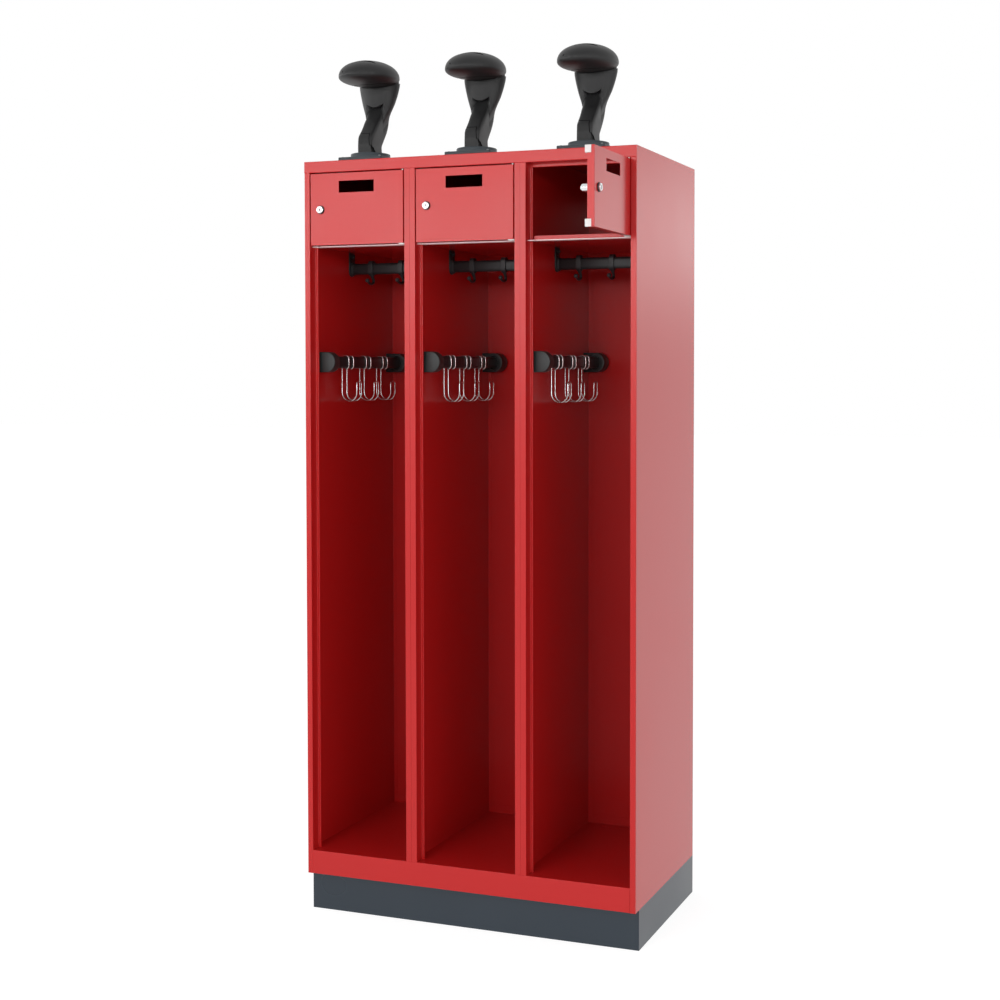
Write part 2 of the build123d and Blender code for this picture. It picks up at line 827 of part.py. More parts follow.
for bay in range(bays):
    centre_x = bay_centre(bay)

    # Helmet neck: swivelling disc and the leaning, flaring stem moulded with it
    with BuildPart() as helmet_neck:
        with BuildSketch(Plane.XY.offset(disc_low)):
            with Locations((centre_x, holder_y)):
                RegularPolygon(disc_radius, round_facets)
        extrude(amount=disc_height)
        chamfer(helmet_neck.edges().group_by(Axis.Z)[-1], length=disc_edge)
        with BuildSketch(Plane.XY.offset(disc_low)):
            with Locations((centre_x, holder_y)):
                RegularPolygon(pivot_radius + pivot_clearance, round_facets, major_radius=False)
        extrude(amount=pivot_height, mode=Mode.SUBTRACT)
        for first, last in ((0, neck_kink), (neck_kink, len(neck_level_shares) - 1)):
            for level in range(first, last + 1):
                half_width_here = neck_half_width_shares[level] * head_half_width
                face_front = neck_front_shares[level] * head_half_length
                face_rear = neck_rear_shares[level] * head_half_length
                narrow = min(half_width_here, (face_rear - face_front) / 2)
                section = flat_sided(
                    half_width_here,
                    (face_rear - face_front) / 2,
                    neck_corner_shares[level] * narrow,
                    corner_facets,
                )
                with BuildSketch(Plane.XY.offset(disc_top + neck_level_shares[level] * neck_height)):
                    with Locations((centre_x, holder_y + (face_front + face_rear) / 2)):
                        Polygon(*section, align=None)
            loft(ruled=True)
        add(head_shape(centre_x, head_gap), mode=Mode.SUBTRACT)
    save(helmet_neck.part, f"helmet_neck_{bay + 1}")

    # Helmet head: the rounded rest that a helmet sits on
    with BuildPart() as helmet_head:
        add(head_shape(centre_x))
    save(helmet_head.part, f"helmet_head_{bay + 1}")
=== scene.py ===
import math

import bmesh
import bpy
import numpy as np
from mathutils import Matrix, Vector


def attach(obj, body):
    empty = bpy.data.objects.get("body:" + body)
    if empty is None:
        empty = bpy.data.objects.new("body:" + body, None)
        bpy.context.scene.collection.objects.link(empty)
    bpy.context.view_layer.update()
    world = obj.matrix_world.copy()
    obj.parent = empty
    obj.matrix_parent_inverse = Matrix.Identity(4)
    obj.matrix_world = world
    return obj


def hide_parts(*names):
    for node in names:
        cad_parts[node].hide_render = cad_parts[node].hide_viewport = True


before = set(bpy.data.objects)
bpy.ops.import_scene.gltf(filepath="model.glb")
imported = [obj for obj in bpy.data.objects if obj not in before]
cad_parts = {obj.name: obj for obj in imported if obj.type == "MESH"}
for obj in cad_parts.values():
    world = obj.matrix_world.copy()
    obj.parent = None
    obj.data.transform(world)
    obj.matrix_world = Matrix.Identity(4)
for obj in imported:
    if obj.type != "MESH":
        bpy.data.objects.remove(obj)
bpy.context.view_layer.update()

scene = bpy.context.scene
scene.view_settings.view_transform = "Standard"


# Plinth
# A recessed ring of folded channel with a brace across its middle, welded and
# powder-coated in anthracite before the red carcass is bolted down on it.
MM = 0.001
ANTHRACITE = (0.0135, 0.022, 0.032)
PEEL_SCALE = 620.0
CLOUD_SCALE = 3.5
SPECK_SCALE = 2600.0
SPECK_SHARE = 0.015


def feed(tree, socket, value):
    """Sets a socket to a number, or links it to another node's output."""
    if isinstance(value, float):
        socket.default_value = value
    else:
        tree.links.new(value, socket)


def noise_node(group, coordinates, scale, detail):
    """A noise texture on the object's own coordinates."""
    noise = group.nodes.new("ShaderNodeTexNoise")
    feed(group, noise.inputs["Scale"], scale)
    feed(group, noise.inputs["Detail"], detail)
    group.links.new(coordinates, noise.inputs["Vector"])
    return noise.outputs["Fac"]


def range_node(group, value, low, high, from_low=0.3, from_high=0.7):
    """Maps a value, by default a noise's middle, to the range from low to high."""
    spread = group.nodes.new("ShaderNodeMapRange")
    ends = {"Value": value, "From Min": from_low, "From Max": from_high, "To Min": low, "To Max": high}
    for label, end in ends.items():
        feed(group, spread.inputs[label], end)
    return spread.outputs["Result"]


def sum_node(group, first, second, operation="ADD"):
    """One sum of two values, each a number or a socket."""
    total = group.nodes.new("ShaderNodeMath")
    total.operation = operation
    for socket, value in zip(total.inputs, (first, second)):
        feed(group, socket, value)
    return total.outputs[0]


def tone_node(group, noise, share):
    """A tone that strays from 1 by a share either way."""
    if isinstance(share, float):
        return range_node(group, noise, 1 - share, 1 + share)
    return range_node(group, noise, sum_node(group, 1.0, share, "SUBTRACT"), sum_node(group, 1.0, share))


def open_skin(name, inputs):
    """A shader group for a finish, with its inputs and the object's own coordinates."""
    group = bpy.data.node_groups.new(name, "ShaderNodeTree")
    for label, value in inputs.items():
        kind = "NodeSocketColor" if isinstance(value, tuple) else "NodeSocketFloat"
        socket = group.interface.new_socket(name=label, in_out="INPUT", socket_type=kind)
        socket.default_value = (*value, 1.0) if isinstance(value, tuple) else value
    for label, kind in (("Colour", "Color"), ("Roughness", "Float"), ("Height", "Float")):
        group.interface.new_socket(name=label, in_out="OUTPUT", socket_type=f"NodeSocket{kind}")
    place = group.nodes.new("ShaderNodeTexCoord").outputs["Object"]
    return group, group.nodes.new("NodeGroupInput").outputs, place


def close_skin(group, given, tones, gloss, height):
    """Puts out the colour times two tones, the roughness that follows a noise, and the height."""
    made = group.nodes.new("NodeGroupOutput").inputs
    shade = group.nodes.new("ShaderNodeVectorMath")
    shade.operation = "SCALE"
    group.links.new(given["Colour"], shade.inputs[0])
    group.links.new(sum_node(group, *tones, "MULTIPLY"), shade.inputs["Scale"])
    group.links.new(shade.outputs[0], made["Colour"])
    group.links.new(range_node(group, gloss, given["Gloss low"], given["Gloss high"]), made["Roughness"])
    group.links.new(height, made["Height"])
    return group


def powder_coat_group():
    """Baked powder coat: fine orange peel, slow drifts in tone and gloss."""
    group, given, place = open_skin(
        "powder_coat_skin",
        {"Colour": (0.5, 0.0, 0.0), "Gloss low": 0.2, "Gloss high": 0.26, "Drift": 0.02},
    )
    peel = noise_node(group, place, PEEL_SCALE, 2.0)
    cloud = noise_node(group, place, CLOUD_SCALE, 2.0)
    speck = noise_node(group, place, SPECK_SCALE, 1.0)
    tones = tone_node(group, cloud, given["Drift"]), tone_node(group, speck, SPECK_SHARE)
    return close_skin(group, given, tones, cloud, peel)


powder_coat_skin = powder_coat_group()


def finish_with(name, group, values, metallic=0.0, specular=0.5, peel=0.05, height=0.0001):
    """A Principled material whose colour, roughness and relief come from a group."""
    material = bpy.data.materials.new(name)
    material.use_nodes = True
    tree = material.node_tree
    shader = tree.nodes["Principled BSDF"]
    skin = tree.nodes.new("ShaderNodeGroup")
    skin.node_tree = group
    for label, value in values.items():
        skin.inputs[label].default_value = (*value, 1.0) if isinstance(value, tuple) else value
    relief = tree.nodes.new("ShaderNodeBump")
    relief.inputs["Strength"].default_value = peel
    relief.inputs["Distance"].default_value = height
    tree.links.new(skin.outputs["Colour"], shader.inputs["Base Color"])
    tree.links.new(skin.outputs["Roughness"], shader.inputs["Roughness"])
    tree.links.new(skin.outputs["Height"], relief.inputs["Height"])
    tree.links.new(relief.outputs["Normal"], shader.inputs["Normal"])
    shader.inputs["Metallic"].default_value = metallic
    shader.inputs["Specular IOR Level"].default_value = specular
    return material


def dress(material, *names):
    """Gives CAD nodes their finish."""
    for name in names:
        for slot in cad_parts[name].material_slots:
            slot.material = material


anthracite_coat = finish_with(
    "anthracite powder coat",
    powder_coat_skin,
    {"Colour": ANTHRACITE, "Gloss low": 0.27, "Gloss high": 0.33, "Drift": 0.04},
    specular=0.41,
)
dress(anthracite_coat, "plinth")


# Carcass
# Folded 1 mm sheet: floor pan, roof, sides, partitions, posts, back and shelves,
# spot-welded together and coated in one go in a smooth, half-gloss red.
BAYS = (1, 2, 3)
RED = (0.420, 0.0095, 0.0095)

red_coat = finish_with(
    "red powder coat",
    powder_coat_skin,
    {"Colour": RED, "Gloss low": 0.20, "Gloss high": 0.24, "Drift": 0.012},
    specular=0.33,
)
dress(red_coat, "floor_pan", "roof_panel", "left_side_panel", "right_side_panel", "back_panel")
dress(red_coat, "partition_1", "partition_2", "middle_post_1", "middle_post_2")
dress(red_coat, *[f"value_shelf_{bay}" for bay in BAYS])


# Shelf edge strips
# A pale extruded bar under the front edge of each shelf, pushed over the sheet,
# on which the door closes; satin, with faint lines drawn along it.
# The strip colour is a pale tone with a pink tint, set bright: the pale tone is its own, the pink is a painted
# reflection of the red coat and the brightness a painted highlight.
STRIP_TONE_AND_PAINTED_REFLECTION = (0.88, 0.74, 0.73)
STRIP_HALF = 135.0
STRIP_NOTCH = (-117.0, -114.0)
STRIP_STOP = 6.5
STRIP_TOP = 1733.0
STRIP_LOW = 1731.4
NOSE_Y = (-236.0, -221.5)
TONGUE_Y = (-222.0, -210.0)
BAY_PITCH = 300.0
STREAK_CLOUD_SCALE = 9.0
STREAK_CLOUD_SHARE = 0.03


def drawn_streak_group():
    """Drawn or extruded stock: fine lines along one axis and a slow drift in tone."""
    group, given, place = open_skin(
        "drawn_streaks",
        {
            "Colour": (0.5, 0.5, 0.5),
            "Across X": 30.0,
            "Across Y": 900.0,
            "Across Z": 900.0,
            "Gloss low": 0.3,
            "Gloss high": 0.4,
            "Contrast": 0.05,
        },
    )
    stretch = group.nodes.new("ShaderNodeVectorMath")
    stretch.operation = "MULTIPLY"
    scales = group.nodes.new("ShaderNodeCombineXYZ")
    for axis in "XYZ":
        group.links.new(given[f"Across {axis}"], scales.inputs[axis])
    group.links.new(place, stretch.inputs[0])
    group.links.new(scales.outputs[0], stretch.inputs[1])
    lines = noise_node(group, stretch.outputs[0], 1.0, 3.0)
    cloud = noise_node(group, place, STREAK_CLOUD_SCALE, 2.0)
    tones = tone_node(group, lines, given["Contrast"]), tone_node(group, cloud, STREAK_CLOUD_SHARE)
    return close_skin(group, given, tones, lines, lines)


drawn_streaks = drawn_streak_group()
strip_finish = finish_with(
    "pale extruded strip",
    drawn_streaks,
    {"Colour": STRIP_TONE_AND_PAINTED_REFLECTION, "Gloss low": 0.30, "Gloss high": 0.40, "Contrast": 0.04},
    peel=0.10,
)


def smooth_mesh(mesh, angle=32):
    """Smooth shading that stays sharp at folds steeper than the angle."""
    mesh.polygons.foreach_set("use_smooth", [True] * len(mesh.polygons))
    mesh.set_sharp_from_angle(angle=math.radians(angle))
    return mesh


def worked_mesh(mesh, name, *steps):
    """The mesh after its modifiers, each given as a kind and its settings."""
    blank = bpy.data.objects.new("blank", mesh)
    scene.collection.objects.link(blank)
    for kind, settings in steps:
        modifier = blank.modifiers.new(kind, kind)
        for label, value in settings.items():
            setattr(modifier, label, value)
    evaluated = blank.evaluated_get(bpy.context.evaluated_depsgraph_get())
    worked = bpy.data.meshes.new_from_object(evaluated)
    worked.name = name
    bpy.data.objects.remove(blank)
    return worked


def finished_mesh(name, form):
    """The mesh of a built form, its faces turned outward."""
    bmesh.ops.recalc_face_normals(form, faces=form.faces)
    mesh = bpy.data.meshes.new(name)
    form.to_mesh(mesh)
    form.free()
    return mesh


def add_ring(form, spots):
    """One ring of corners, given in millimetres."""
    return [form.verts.new([value * MM for value in spot]) for spot in spots]


def add_wall(form, near, far):
    """A wall of faces between two rings of corners."""
    for side in range(len(near)):
        form.faces.new((near[side - 1], near[side], far[side], far[side - 1]))


def ringed_mesh(name, rings, closed=False):
    """A skin over rings of points, capped at both ends or closed back to the first."""
    form = bmesh.new()
    rings = [add_ring(form, spots) for spots in rings]
    for index in range(0 if closed else 1, len(rings)):
        add_wall(form, rings[index - 1], rings[index])
    if not closed:
        form.faces.new(rings[0])
        form.faces.new(rings[-1])
    return finished_mesh(name, form)


def slab_mesh(name, outline, low, high, edge, segments=2):
    """A flat-sided block on an outline in its own x and y, with its rims rounded."""
    mesh = ringed_mesh(name, [[(x, y, level) for x, y in outline] for level in (low, high)])
    rounding = {"width": edge * MM, "segments": segments, "limit_method": "ANGLE", "angle_limit": math.radians(40)}
    return smooth_mesh(worked_mesh(mesh, name, ("BEVEL", rounding)))


def joined_mesh(name, *placed):
    """One mesh from several, each given with the matrix that puts it in place."""
    form = bmesh.new()
    for mesh, place in placed:
        part = mesh.copy()
        part.transform(place)
        form.from_mesh(part)
        bpy.data.meshes.remove(part)
    return smooth_mesh(finished_mesh(name, form))


def at(x, y, z):
    """The matrix that moves a piece to a spot in millimetres."""
    return Matrix.Translation(Vector((x, y, z)) * MM)


def bay_middle(bay):
    """X of the middle of a bay."""
    return (bay - 2) * BAY_PITCH


def put(name, mesh, material, body, place=Matrix.Identity(4), stands_for=()):
    """Places a piece, gives it its finish and lets it ride on its body."""
    piece = bpy.data.objects.new(name, mesh)
    scene.collection.objects.link(piece)
    if not mesh.materials:
        mesh.materials.append(material)
    piece.matrix_world = place
    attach(piece, body)
    if stands_for:
        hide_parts(*stands_for)
    return piece


# Own x to the rear, own y up, own z to the right.
across_bay = Matrix(((0, 0, 1, 0), (1, 0, 0, 0), (0, 1, 0, 0), (0, 0, 0, 1)))
nose, tongue = (
    ((front, STRIP_TOP), (front, STRIP_LOW), (rear, STRIP_LOW), (rear, STRIP_TOP)) for front, rear in (NOSE_Y, TONGUE_Y)
)
strips = []
for bay in BAYS:
    place = at(bay_middle(bay), 0, 0) @ across_bay
    for start, end in ((-STRIP_HALF, STRIP_NOTCH[0]), (STRIP_NOTCH[1], STRIP_HALF)):
        strips.append((slab_mesh("strip_length", nose, start, end, 0.35), place))
        between_stops = (max(start, STRIP_STOP - STRIP_HALF), min(end, STRIP_HALF - STRIP_STOP))
        strips.append((slab_mesh("strip_tongue", tongue, *between_stops, 0.2), place))
strip_set = joined_mesh("edge_strips", *strips)
put("edge_strips", strip_set, strip_finish, "carcass", stands_for=["shelf_edge_strips"])


# Doors
# A folded pan for each value compartment, with a label slot near its top, coated
# with the carcass. The third stands open at a right angle.
DOOR_TURNS = {1: 0.0, 2: 0.0, 3: math.radians(90)}
DOOR_HIGH = 182.5
DOOR_LOW_Z = 1735.0
DOOR_DEEP = 17.0
HINGE_FROM_CENTRE = 129.0
HINGE_Y = -245.0
PIN_FROM_EDGE = 3.0
PIN_FROM_FACE = 5.0
DOOR_WIDE = 264.0

dress(red_coat, *[f"door_{bay}" for bay in BAYS])


def door_place(bay):
    """The door's own axes at its lower hinge corner: x to the hinge, y up, z outward."""
    turn = DOOR_TURNS[bay]
    along = Vector((math.cos(turn), math.sin(turn), 0))
    outward = Vector((math.sin(turn), -math.cos(turn), 0))
    pin = Vector((bay_middle(bay) + HINGE_FROM_CENTRE, HINGE_Y, DOOR_LOW_Z))
    place = at(*(pin + outward * PIN_FROM_FACE))
    for column, axis in enumerate((along, Vector((0, 0, 1)), outward)):
        place.col[column][:3] = axis
    return place


# Hinge pins
# Zinc-plated pins under and over each door: the lower one riveted in a small foot
# on the edge strip, the upper one under the header.
ZINC = (0.56, 0.56, 0.55)

zinc_plate = finish_with(
    "zinc-plated steel",
    drawn_streaks,
    {
        "Colour": ZINC,
        "Across X": 260.0,
        "Across Y": 260.0,
        "Across Z": 260.0,
        "Gloss low": 0.30,
        "Gloss high": 0.46,
        "Contrast": 0.10,
    },
    metallic=1.0,
    peel=0.15,
)
dress(zinc_plate, "hinge_pins")


# Door bumpers
# White moulded clips over the two free corners of each door: a wrap round the
# edge and a soft pad behind, pushed on.
# The clip colour is white with a slight pink tint: the white is its own, the pink is painted red bounce light from the
# coat around it.
CLIP_WHITE_AND_PAINTED_BOUNCE = (0.62, 0.585, 0.58)
BUMPER_HIGH = 17.5
BUMPER_GRIP = 9.5
BUMPER_REACH = 9.0
BUMPER_WRAP = 1.2
BUMPER_PROUD = 5.5
BUMPER_CHAMFER = 2.0
BUMPER_EDGE = 0.5
FLOW_SCALE = 22.0
GRAIN_SHARE = 0.04


def moulded_group():
    """Moulded plastic: fine spark-eroded grain, slight flow marks and uneven gloss."""
    group, given, place = open_skin(
        "moulded_grain",
        {"Colour": (0.1, 0.1, 0.1), "Grain": 1500.0, "Gloss low": 0.4, "Gloss high": 0.5, "Drift": 0.05},
    )
    grain = noise_node(group, place, given["Grain"], 2.0)
    flow = noise_node(group, place, FLOW_SCALE, 3.0)
    tones = tone_node(group, flow, given["Drift"]), tone_node(group, grain, GRAIN_SHARE)
    return close_skin(group, given, tones, flow, grain)


moulded_grain = moulded_group()
white_moulding = finish_with(
    "white moulded clip",
    moulded_grain,
    {"Colour": CLIP_WHITE_AND_PAINTED_BOUNCE, "Grain": 1800.0, "Gloss low": 0.42, "Gloss high": 0.50, "Drift": 0.02},
    peel=0.08,
)
clip_outline = (
    (-BUMPER_WRAP, -BUMPER_GRIP),
    (0, -BUMPER_GRIP),
    (0, 0),
    (BUMPER_REACH, 0),
    (BUMPER_REACH, BUMPER_PROUD - BUMPER_CHAMFER),
    (BUMPER_REACH - BUMPER_CHAMFER, BUMPER_PROUD),
    (-BUMPER_WRAP, BUMPER_PROUD),
)
clip_mesh = slab_mesh("bumper_clip", clip_outline, 0, BUMPER_HIGH, BUMPER_EDGE)
upright = Matrix(((1, 0, 0, 0), (0, 0, 1, 0), (0, -1, 0, 0), (0, 0, 0, 1)))
for bay in BAYS:
    clips = []
    for low in (0, DOOR_HIGH - BUMPER_HIGH):
        clips.append((clip_mesh, at(PIN_FROM_EDGE - DOOR_WIDE, low, -DOOR_DEEP) @ upright))
    put(
        f"corner_bumpers_{bay}",
        joined_mesh(f"bumper_pair_{bay}", *clips),
        white_moulding,
        f"door_{bay}",
        door_place(bay),
        stands_for=[f"door_bumpers_{bay}"],
    )


# Cam locks
# A bright turned barrel behind a black collar in each door, held by its nut
# inside; the plug turns in it, with a dark shutter over its keyway and the cam.
LOCK_FROM_EDGE = 29.4
LOCK_UP = 90.5
COLLAR_BLACK = (0.006, 0.006, 0.006)
CHROME = (0.72, 0.72, 0.73)
COLLAR_SHAPE = ((9.2, 0), (11, 0), (11, 1.8), (10.4, 2.8), (9.6, 3), (9.2, 3))
SHUTTER_HALF = (2.6, 5.3)
SHUTTER_FACE = (7.0, 7.5)
SHUTTER_SIDES = 24
BARREL_SHAPE = ((6.55, -37.9), (9, -37.9), (9, 4.2), (9.0, 5.6), (8.4, 6.5), (7.2, 6.5), (6.55, 6.1))


def round_spots(radius, level, sides):
    """Points round the z axis at a level."""
    turns = [2 * math.pi * side / sides for side in range(sides)]
    return [(radius * math.cos(turn), radius * math.sin(turn), level) for turn in turns]


def turned_mesh(name, profile, sides=48, closed=False):
    """A turned form, or from a closed profile a ring: radius and height pairs spun about z."""
    return smooth_mesh(ringed_mesh(name, [round_spots(*pair, sides) for pair in profile], closed))


black_collar = finish_with(
    "black lock collar",
    moulded_grain,
    {"Colour": COLLAR_BLACK, "Grain": 2200.0, "Gloss low": 0.30, "Gloss high": 0.40, "Drift": 0.05},
    specular=0.3,
)
lock_chrome = finish_with(
    "nickel-plated lock",
    drawn_streaks,
    {
        "Colour": CHROME,
        "Across X": 900.0,
        "Across Y": 900.0,
        "Across Z": 120.0,
        "Gloss low": 0.14,
        "Gloss high": 0.24,
        "Contrast": 0.05,
    },
    metallic=1.0,
)
collar_mesh = turned_mesh("lock_collar", COLLAR_SHAPE, closed=True)
barrel_mesh = turned_mesh("lock_barrel", BARREL_SHAPE, closed=True)
shutter_outline = [(SHUTTER_HALF[0] * x, SHUTTER_HALF[1] * y) for x, y, level in round_spots(1, 0, SHUTTER_SIDES)]
shutter_mesh = slab_mesh("key_shutter", shutter_outline, *SHUTTER_FACE, 0.15)
for bay in BAYS:
    lock_place = door_place(bay) @ at(PIN_FROM_EDGE - DOOR_WIDE + LOCK_FROM_EDGE, LOCK_UP, 0)
    put(f"lock_collar_{bay}", collar_mesh, black_collar, f"door_{bay}", lock_place)
    put(
        f"lock_barrel_{bay}",
        barrel_mesh,
        lock_chrome,
        f"door_{bay}",
        lock_place,
        stands_for=[f"lock_body_{bay}"],
    )
    put(f"key_shutter_{bay}", shutter_mesh, black_collar, f"lock_{bay}", lock_place)
dress(lock_chrome, *[f"lock_plug_{bay}" for bay in BAYS])


# Upper rails
# An oval wardrobe tube across each bay, satin black, carried at its ends by
# the wall hangers.
RAIL_BLACK = (0.014, 0.014, 0.015)
UPPER_RAIL_Y = 0.0
UPPER_RAIL_Z = 1689.0
RAIL_HIGH = 30.0
RAIL_WIDE = 15.0
RAIL_EDGE = 0.4
WALLS = {1: (-449.0, -150.5), 2: (-149.5, 149.5), 3: (150.5, 449.0)}
HANGER_PLATE = 4.0


def oval_outline(high, wide, steps=12):
    """A standing oval: two straight sides and two half rounds."""
    outline = []
    for end in (1, -1):
        for step in range(steps + 1):
            angle = math.pi * step / steps
            x = end * wide / 2 * math.cos(angle)
            y = end * ((high - wide) / 2 + wide / 2 * math.sin(angle))
            outline.append((x, y))
    return outline


black_rail = finish_with(
    "satin black rail",
    powder_coat_skin,
    {"Colour": RAIL_BLACK, "Gloss low": 0.34, "Gloss high": 0.42, "Drift": 0.06},
    specular=0.30,
)
rails = []
for bay in BAYS:
    start, end = WALLS[bay]
    tube = slab_mesh("tube", oval_outline(RAIL_HIGH, RAIL_WIDE), start + HANGER_PLATE, end - HANGER_PLATE, RAIL_EDGE)
    rails.append((tube, at(0, UPPER_RAIL_Y, UPPER_RAIL_Z) @ across_bay))
rail_set = joined_mesh("upper_rail_tubes", *rails)
put("upper_rail_tubes", rail_set, black_rail, "carcass", stands_for=["upper_rails"])


# Rail hangers
# Moulded black plates screwed to both walls of each bay, with a socket for the
# tube and a boss at the top that locates them under the shelf.
PLASTIC_BLACK = (0.014, 0.014, 0.015)
HANGER_WIDE = 30.0
HANGER_RISE = 44.0
SOCKET_WALL = 3.0
SOCKET_DEEP = 10.0
BOSS_DROP = 11.0
HANGER_SCREW = (9.5, 6.5)
BOSS_SHAPE = ((5.0, 0), (5.0, 8.6), (4.2, 9.8), (2.6, 10.0), (2.2, 8.4))
SCREW_SHAPE = ((3.6, -0.2), (3.6, 0.5), (3.2, 1.3), (2.3, 1.9), (1.5, 2.1), (1.2, 1.2))

black_moulding = finish_with(
    "black moulded plastic",
    moulded_grain,
    {"Colour": PLASTIC_BLACK, "Grain": 1400.0, "Gloss low": 0.40, "Gloss high": 0.50, "Drift": 0.08},
    specular=0.4,
    peel=0.12,
)
half_wide = HANGER_WIDE / 2
hanger_foot = -(RAIL_HIGH + 4 * SOCKET_WALL - HANGER_WIDE) / 2
hanger_outline = [(half_wide, HANGER_RISE), (-half_wide, HANGER_RISE)]
for step in range(13):
    angle = math.pi * (1 + step / 12)
    hanger_outline.append((half_wide * math.cos(angle), hanger_foot + half_wide * math.sin(angle)))
plate_mesh = slab_mesh("hanger_plate", hanger_outline, 0, HANGER_PLATE, 1.2)
socket_outline = oval_outline(RAIL_HIGH + 2 * SOCKET_WALL, RAIL_WIDE + 2 * SOCKET_WALL)
socket_mesh = slab_mesh("hanger_socket", socket_outline, HANGER_PLATE - 1, SOCKET_DEEP, 1.0)
boss_mesh = turned_mesh("hanger_boss", BOSS_SHAPE, 24)
screw_mesh = turned_mesh("pan_screw", SCREW_SHAPE, 24)
hangers = []
hanger_screws = []
for bay in BAYS:
    for wall, hand in zip(WALLS[bay], (1, -1)):
        place = at(wall, UPPER_RAIL_Y, UPPER_RAIL_Z) @ Matrix.Diagonal((hand, 1, 1, 1)) @ across_bay
        boss_place = place @ at(0, HANGER_RISE - BOSS_DROP, 0)
        hangers += [(plate_mesh, place), (socket_mesh, place), (boss_mesh, boss_place)]
        for across in (-HANGER_SCREW[0], HANGER_SCREW[0]):
            hanger_screws.append((screw_mesh, place @ at(across, HANGER_RISE - HANGER_SCREW[1], HANGER_PLATE)))
hanger_set = joined_mesh("wall_hangers", *hangers)
put("wall_hangers", hanger_set, black_moulding, "carcass", stands_for=["rail_hangers"])
screw_set = joined_mesh("hanger_screws", *hanger_screws)
put("hanger_screws", screw_set, black_rail, "carcass")


# Slide hooks
# Moulded black hooks, three on each upper rail: a collar round the tube, an arm
# that leans back, turns forward and ends in a ball that is kind to cloth.
HOOK_PITCH = 90.0
HOOK_OFFSET = 4.0
COLLAR_WIDE = 14.0
COLLAR_WALL = 4.0
COLLAR_CROWN = 7.0
SLIDE_GAP = 0.3
ARM_ROUTE = (
    (0.0, -16.0),
    (3.5, -22.0),
    (8.0, -27.5),
    (9.6, -33.5),
    (6.6, -38.6),
    (-1.0, -40.6),
    (-10.0, -40.4),
    (-18.5, -37.6),
    (-26.0, -33.0),
)
ARM_RADII = (5.6, 4.6, 4.0, 3.9, 3.8, 3.7, 3.6, 3.7, 4.2)
BALL_RADIUS = 6.0
HOOK_VOXEL = 0.8


def smooth_route(points, steps):
    """Points along a smooth line through the given points."""
    given = np.array(points, float)
    padded = np.vstack((2 * given[0] - given[1], given, 2 * given[-1] - given[-2]))
    line = []
    for index in range(len(given) - 1):
        before, start, end, after = padded[index : index + 4]
        for step in range(steps):
            t = step / steps
            line.append(
                0.5
                * (
                    2 * start
                    + (end - before) * t
                    + (2 * before - 5 * start + 4 * end - after) * t**2
                    + (3 * start - before - 3 * end + after) * t**3
                )
            )
    line.append(given[-1])
    return np.array(line)


def swept_mesh(name, route, radii, sides=12):
    """A round bar along a route in millimetres, closed at both ends."""
    route = np.array(route, float)
    runs = np.gradient(route, axis=0)
    runs /= np.linalg.norm(runs, axis=1)[:, None]
    side_axis = np.cross(runs[0], (0.31, 0.87, 0.39))
    rings = []
    for centre, run, radius in zip(route, runs, radii):
        side_axis = side_axis - run * side_axis.dot(run)
        side_axis /= np.linalg.norm(side_axis)
        other_axis = np.cross(run, side_axis)
        turns = [2 * math.pi * side / sides for side in range(sides)]
        rings.append([centre + radius * (math.cos(turn) * side_axis + math.sin(turn) * other_axis) for turn in turns])
    return ringed_mesh(name, rings)


def ball_mesh(name, radius):
    """A ball of even faces."""
    form = bmesh.new()
    bmesh.ops.create_icosphere(form, subdivisions=3, radius=radius * MM)
    return finished_mesh(name, form)


collar_lift = (COLLAR_CROWN - COLLAR_WALL) / 2
collar_outer = oval_outline(RAIL_HIGH + COLLAR_CROWN + COLLAR_WALL, RAIL_WIDE + 2 * COLLAR_WALL)
collar_outer = [(x, y + collar_lift) for x, y in collar_outer]
collar_inner = oval_outline(RAIL_HIGH + 2 * SLIDE_GAP, RAIL_WIDE + 2 * SLIDE_GAP)
collar_rings = []
for outline, side in ((collar_outer, -0.5), (collar_outer, 0.5), (collar_inner, 0.5), (collar_inner, -0.5)):
    collar_rings.append([(x, y, side * COLLAR_WIDE) for x, y in outline])
collar_ring = ringed_mesh("hook_collar", collar_rings, closed=True)
arm_line = smooth_route([(y, z, 0) for y, z in ARM_ROUTE], 5)
arm_spread = np.interp(np.linspace(0, 1, len(arm_line)), np.linspace(0, 1, len(ARM_RADII)), ARM_RADII)
arm_mesh = swept_mesh("hook_arm", arm_line, arm_spread, 16)
ball = ball_mesh("hook_ball", BALL_RADIUS)
here = Matrix.Identity(4)
hook_blank = joined_mesh("hook_blank", (collar_ring, here), (arm_mesh, here), (ball, at(*ARM_ROUTE[-1], 0)))
slide_hook_mesh = worked_mesh(
    hook_blank,
    "slide_hook",
    ("REMESH", {"mode": "VOXEL", "voxel_size": HOOK_VOXEL * MM}),
    ("SMOOTH", {"factor": 0.5, "iterations": 4}),
)
smooth_mesh(slide_hook_mesh, 60)
for bay in BAYS:
    for number in (1, 2, 3):
        hook_x = bay_middle(bay) + HOOK_OFFSET + (number - 2) * HOOK_PITCH
        put(
            f"sliding_hook_{bay}_{number}",
            slide_hook_mesh,
            black_moulding,
            f"slide_hook_{bay}_{number}",
            at(hook_x, UPPER_RAIL_Y, UPPER_RAIL_Z) @ across_bay,
            stands_for=[f"slide_hook_{bay}_{number}"],
        )


# Side rails
# The same tube, a little larger, from front to rear beside the left wall of
# each bay, held clear of the sheet by its two brackets.
SIDE_RAIL_HIGH = 31.0
SIDE_RAIL_WIDE = 16.0
SIDE_RAIL_Z = 1435.0
SIDE_RAIL_FROM_WALL = 34.0
SIDE_RAIL_Y = (-195.0, 235.0)

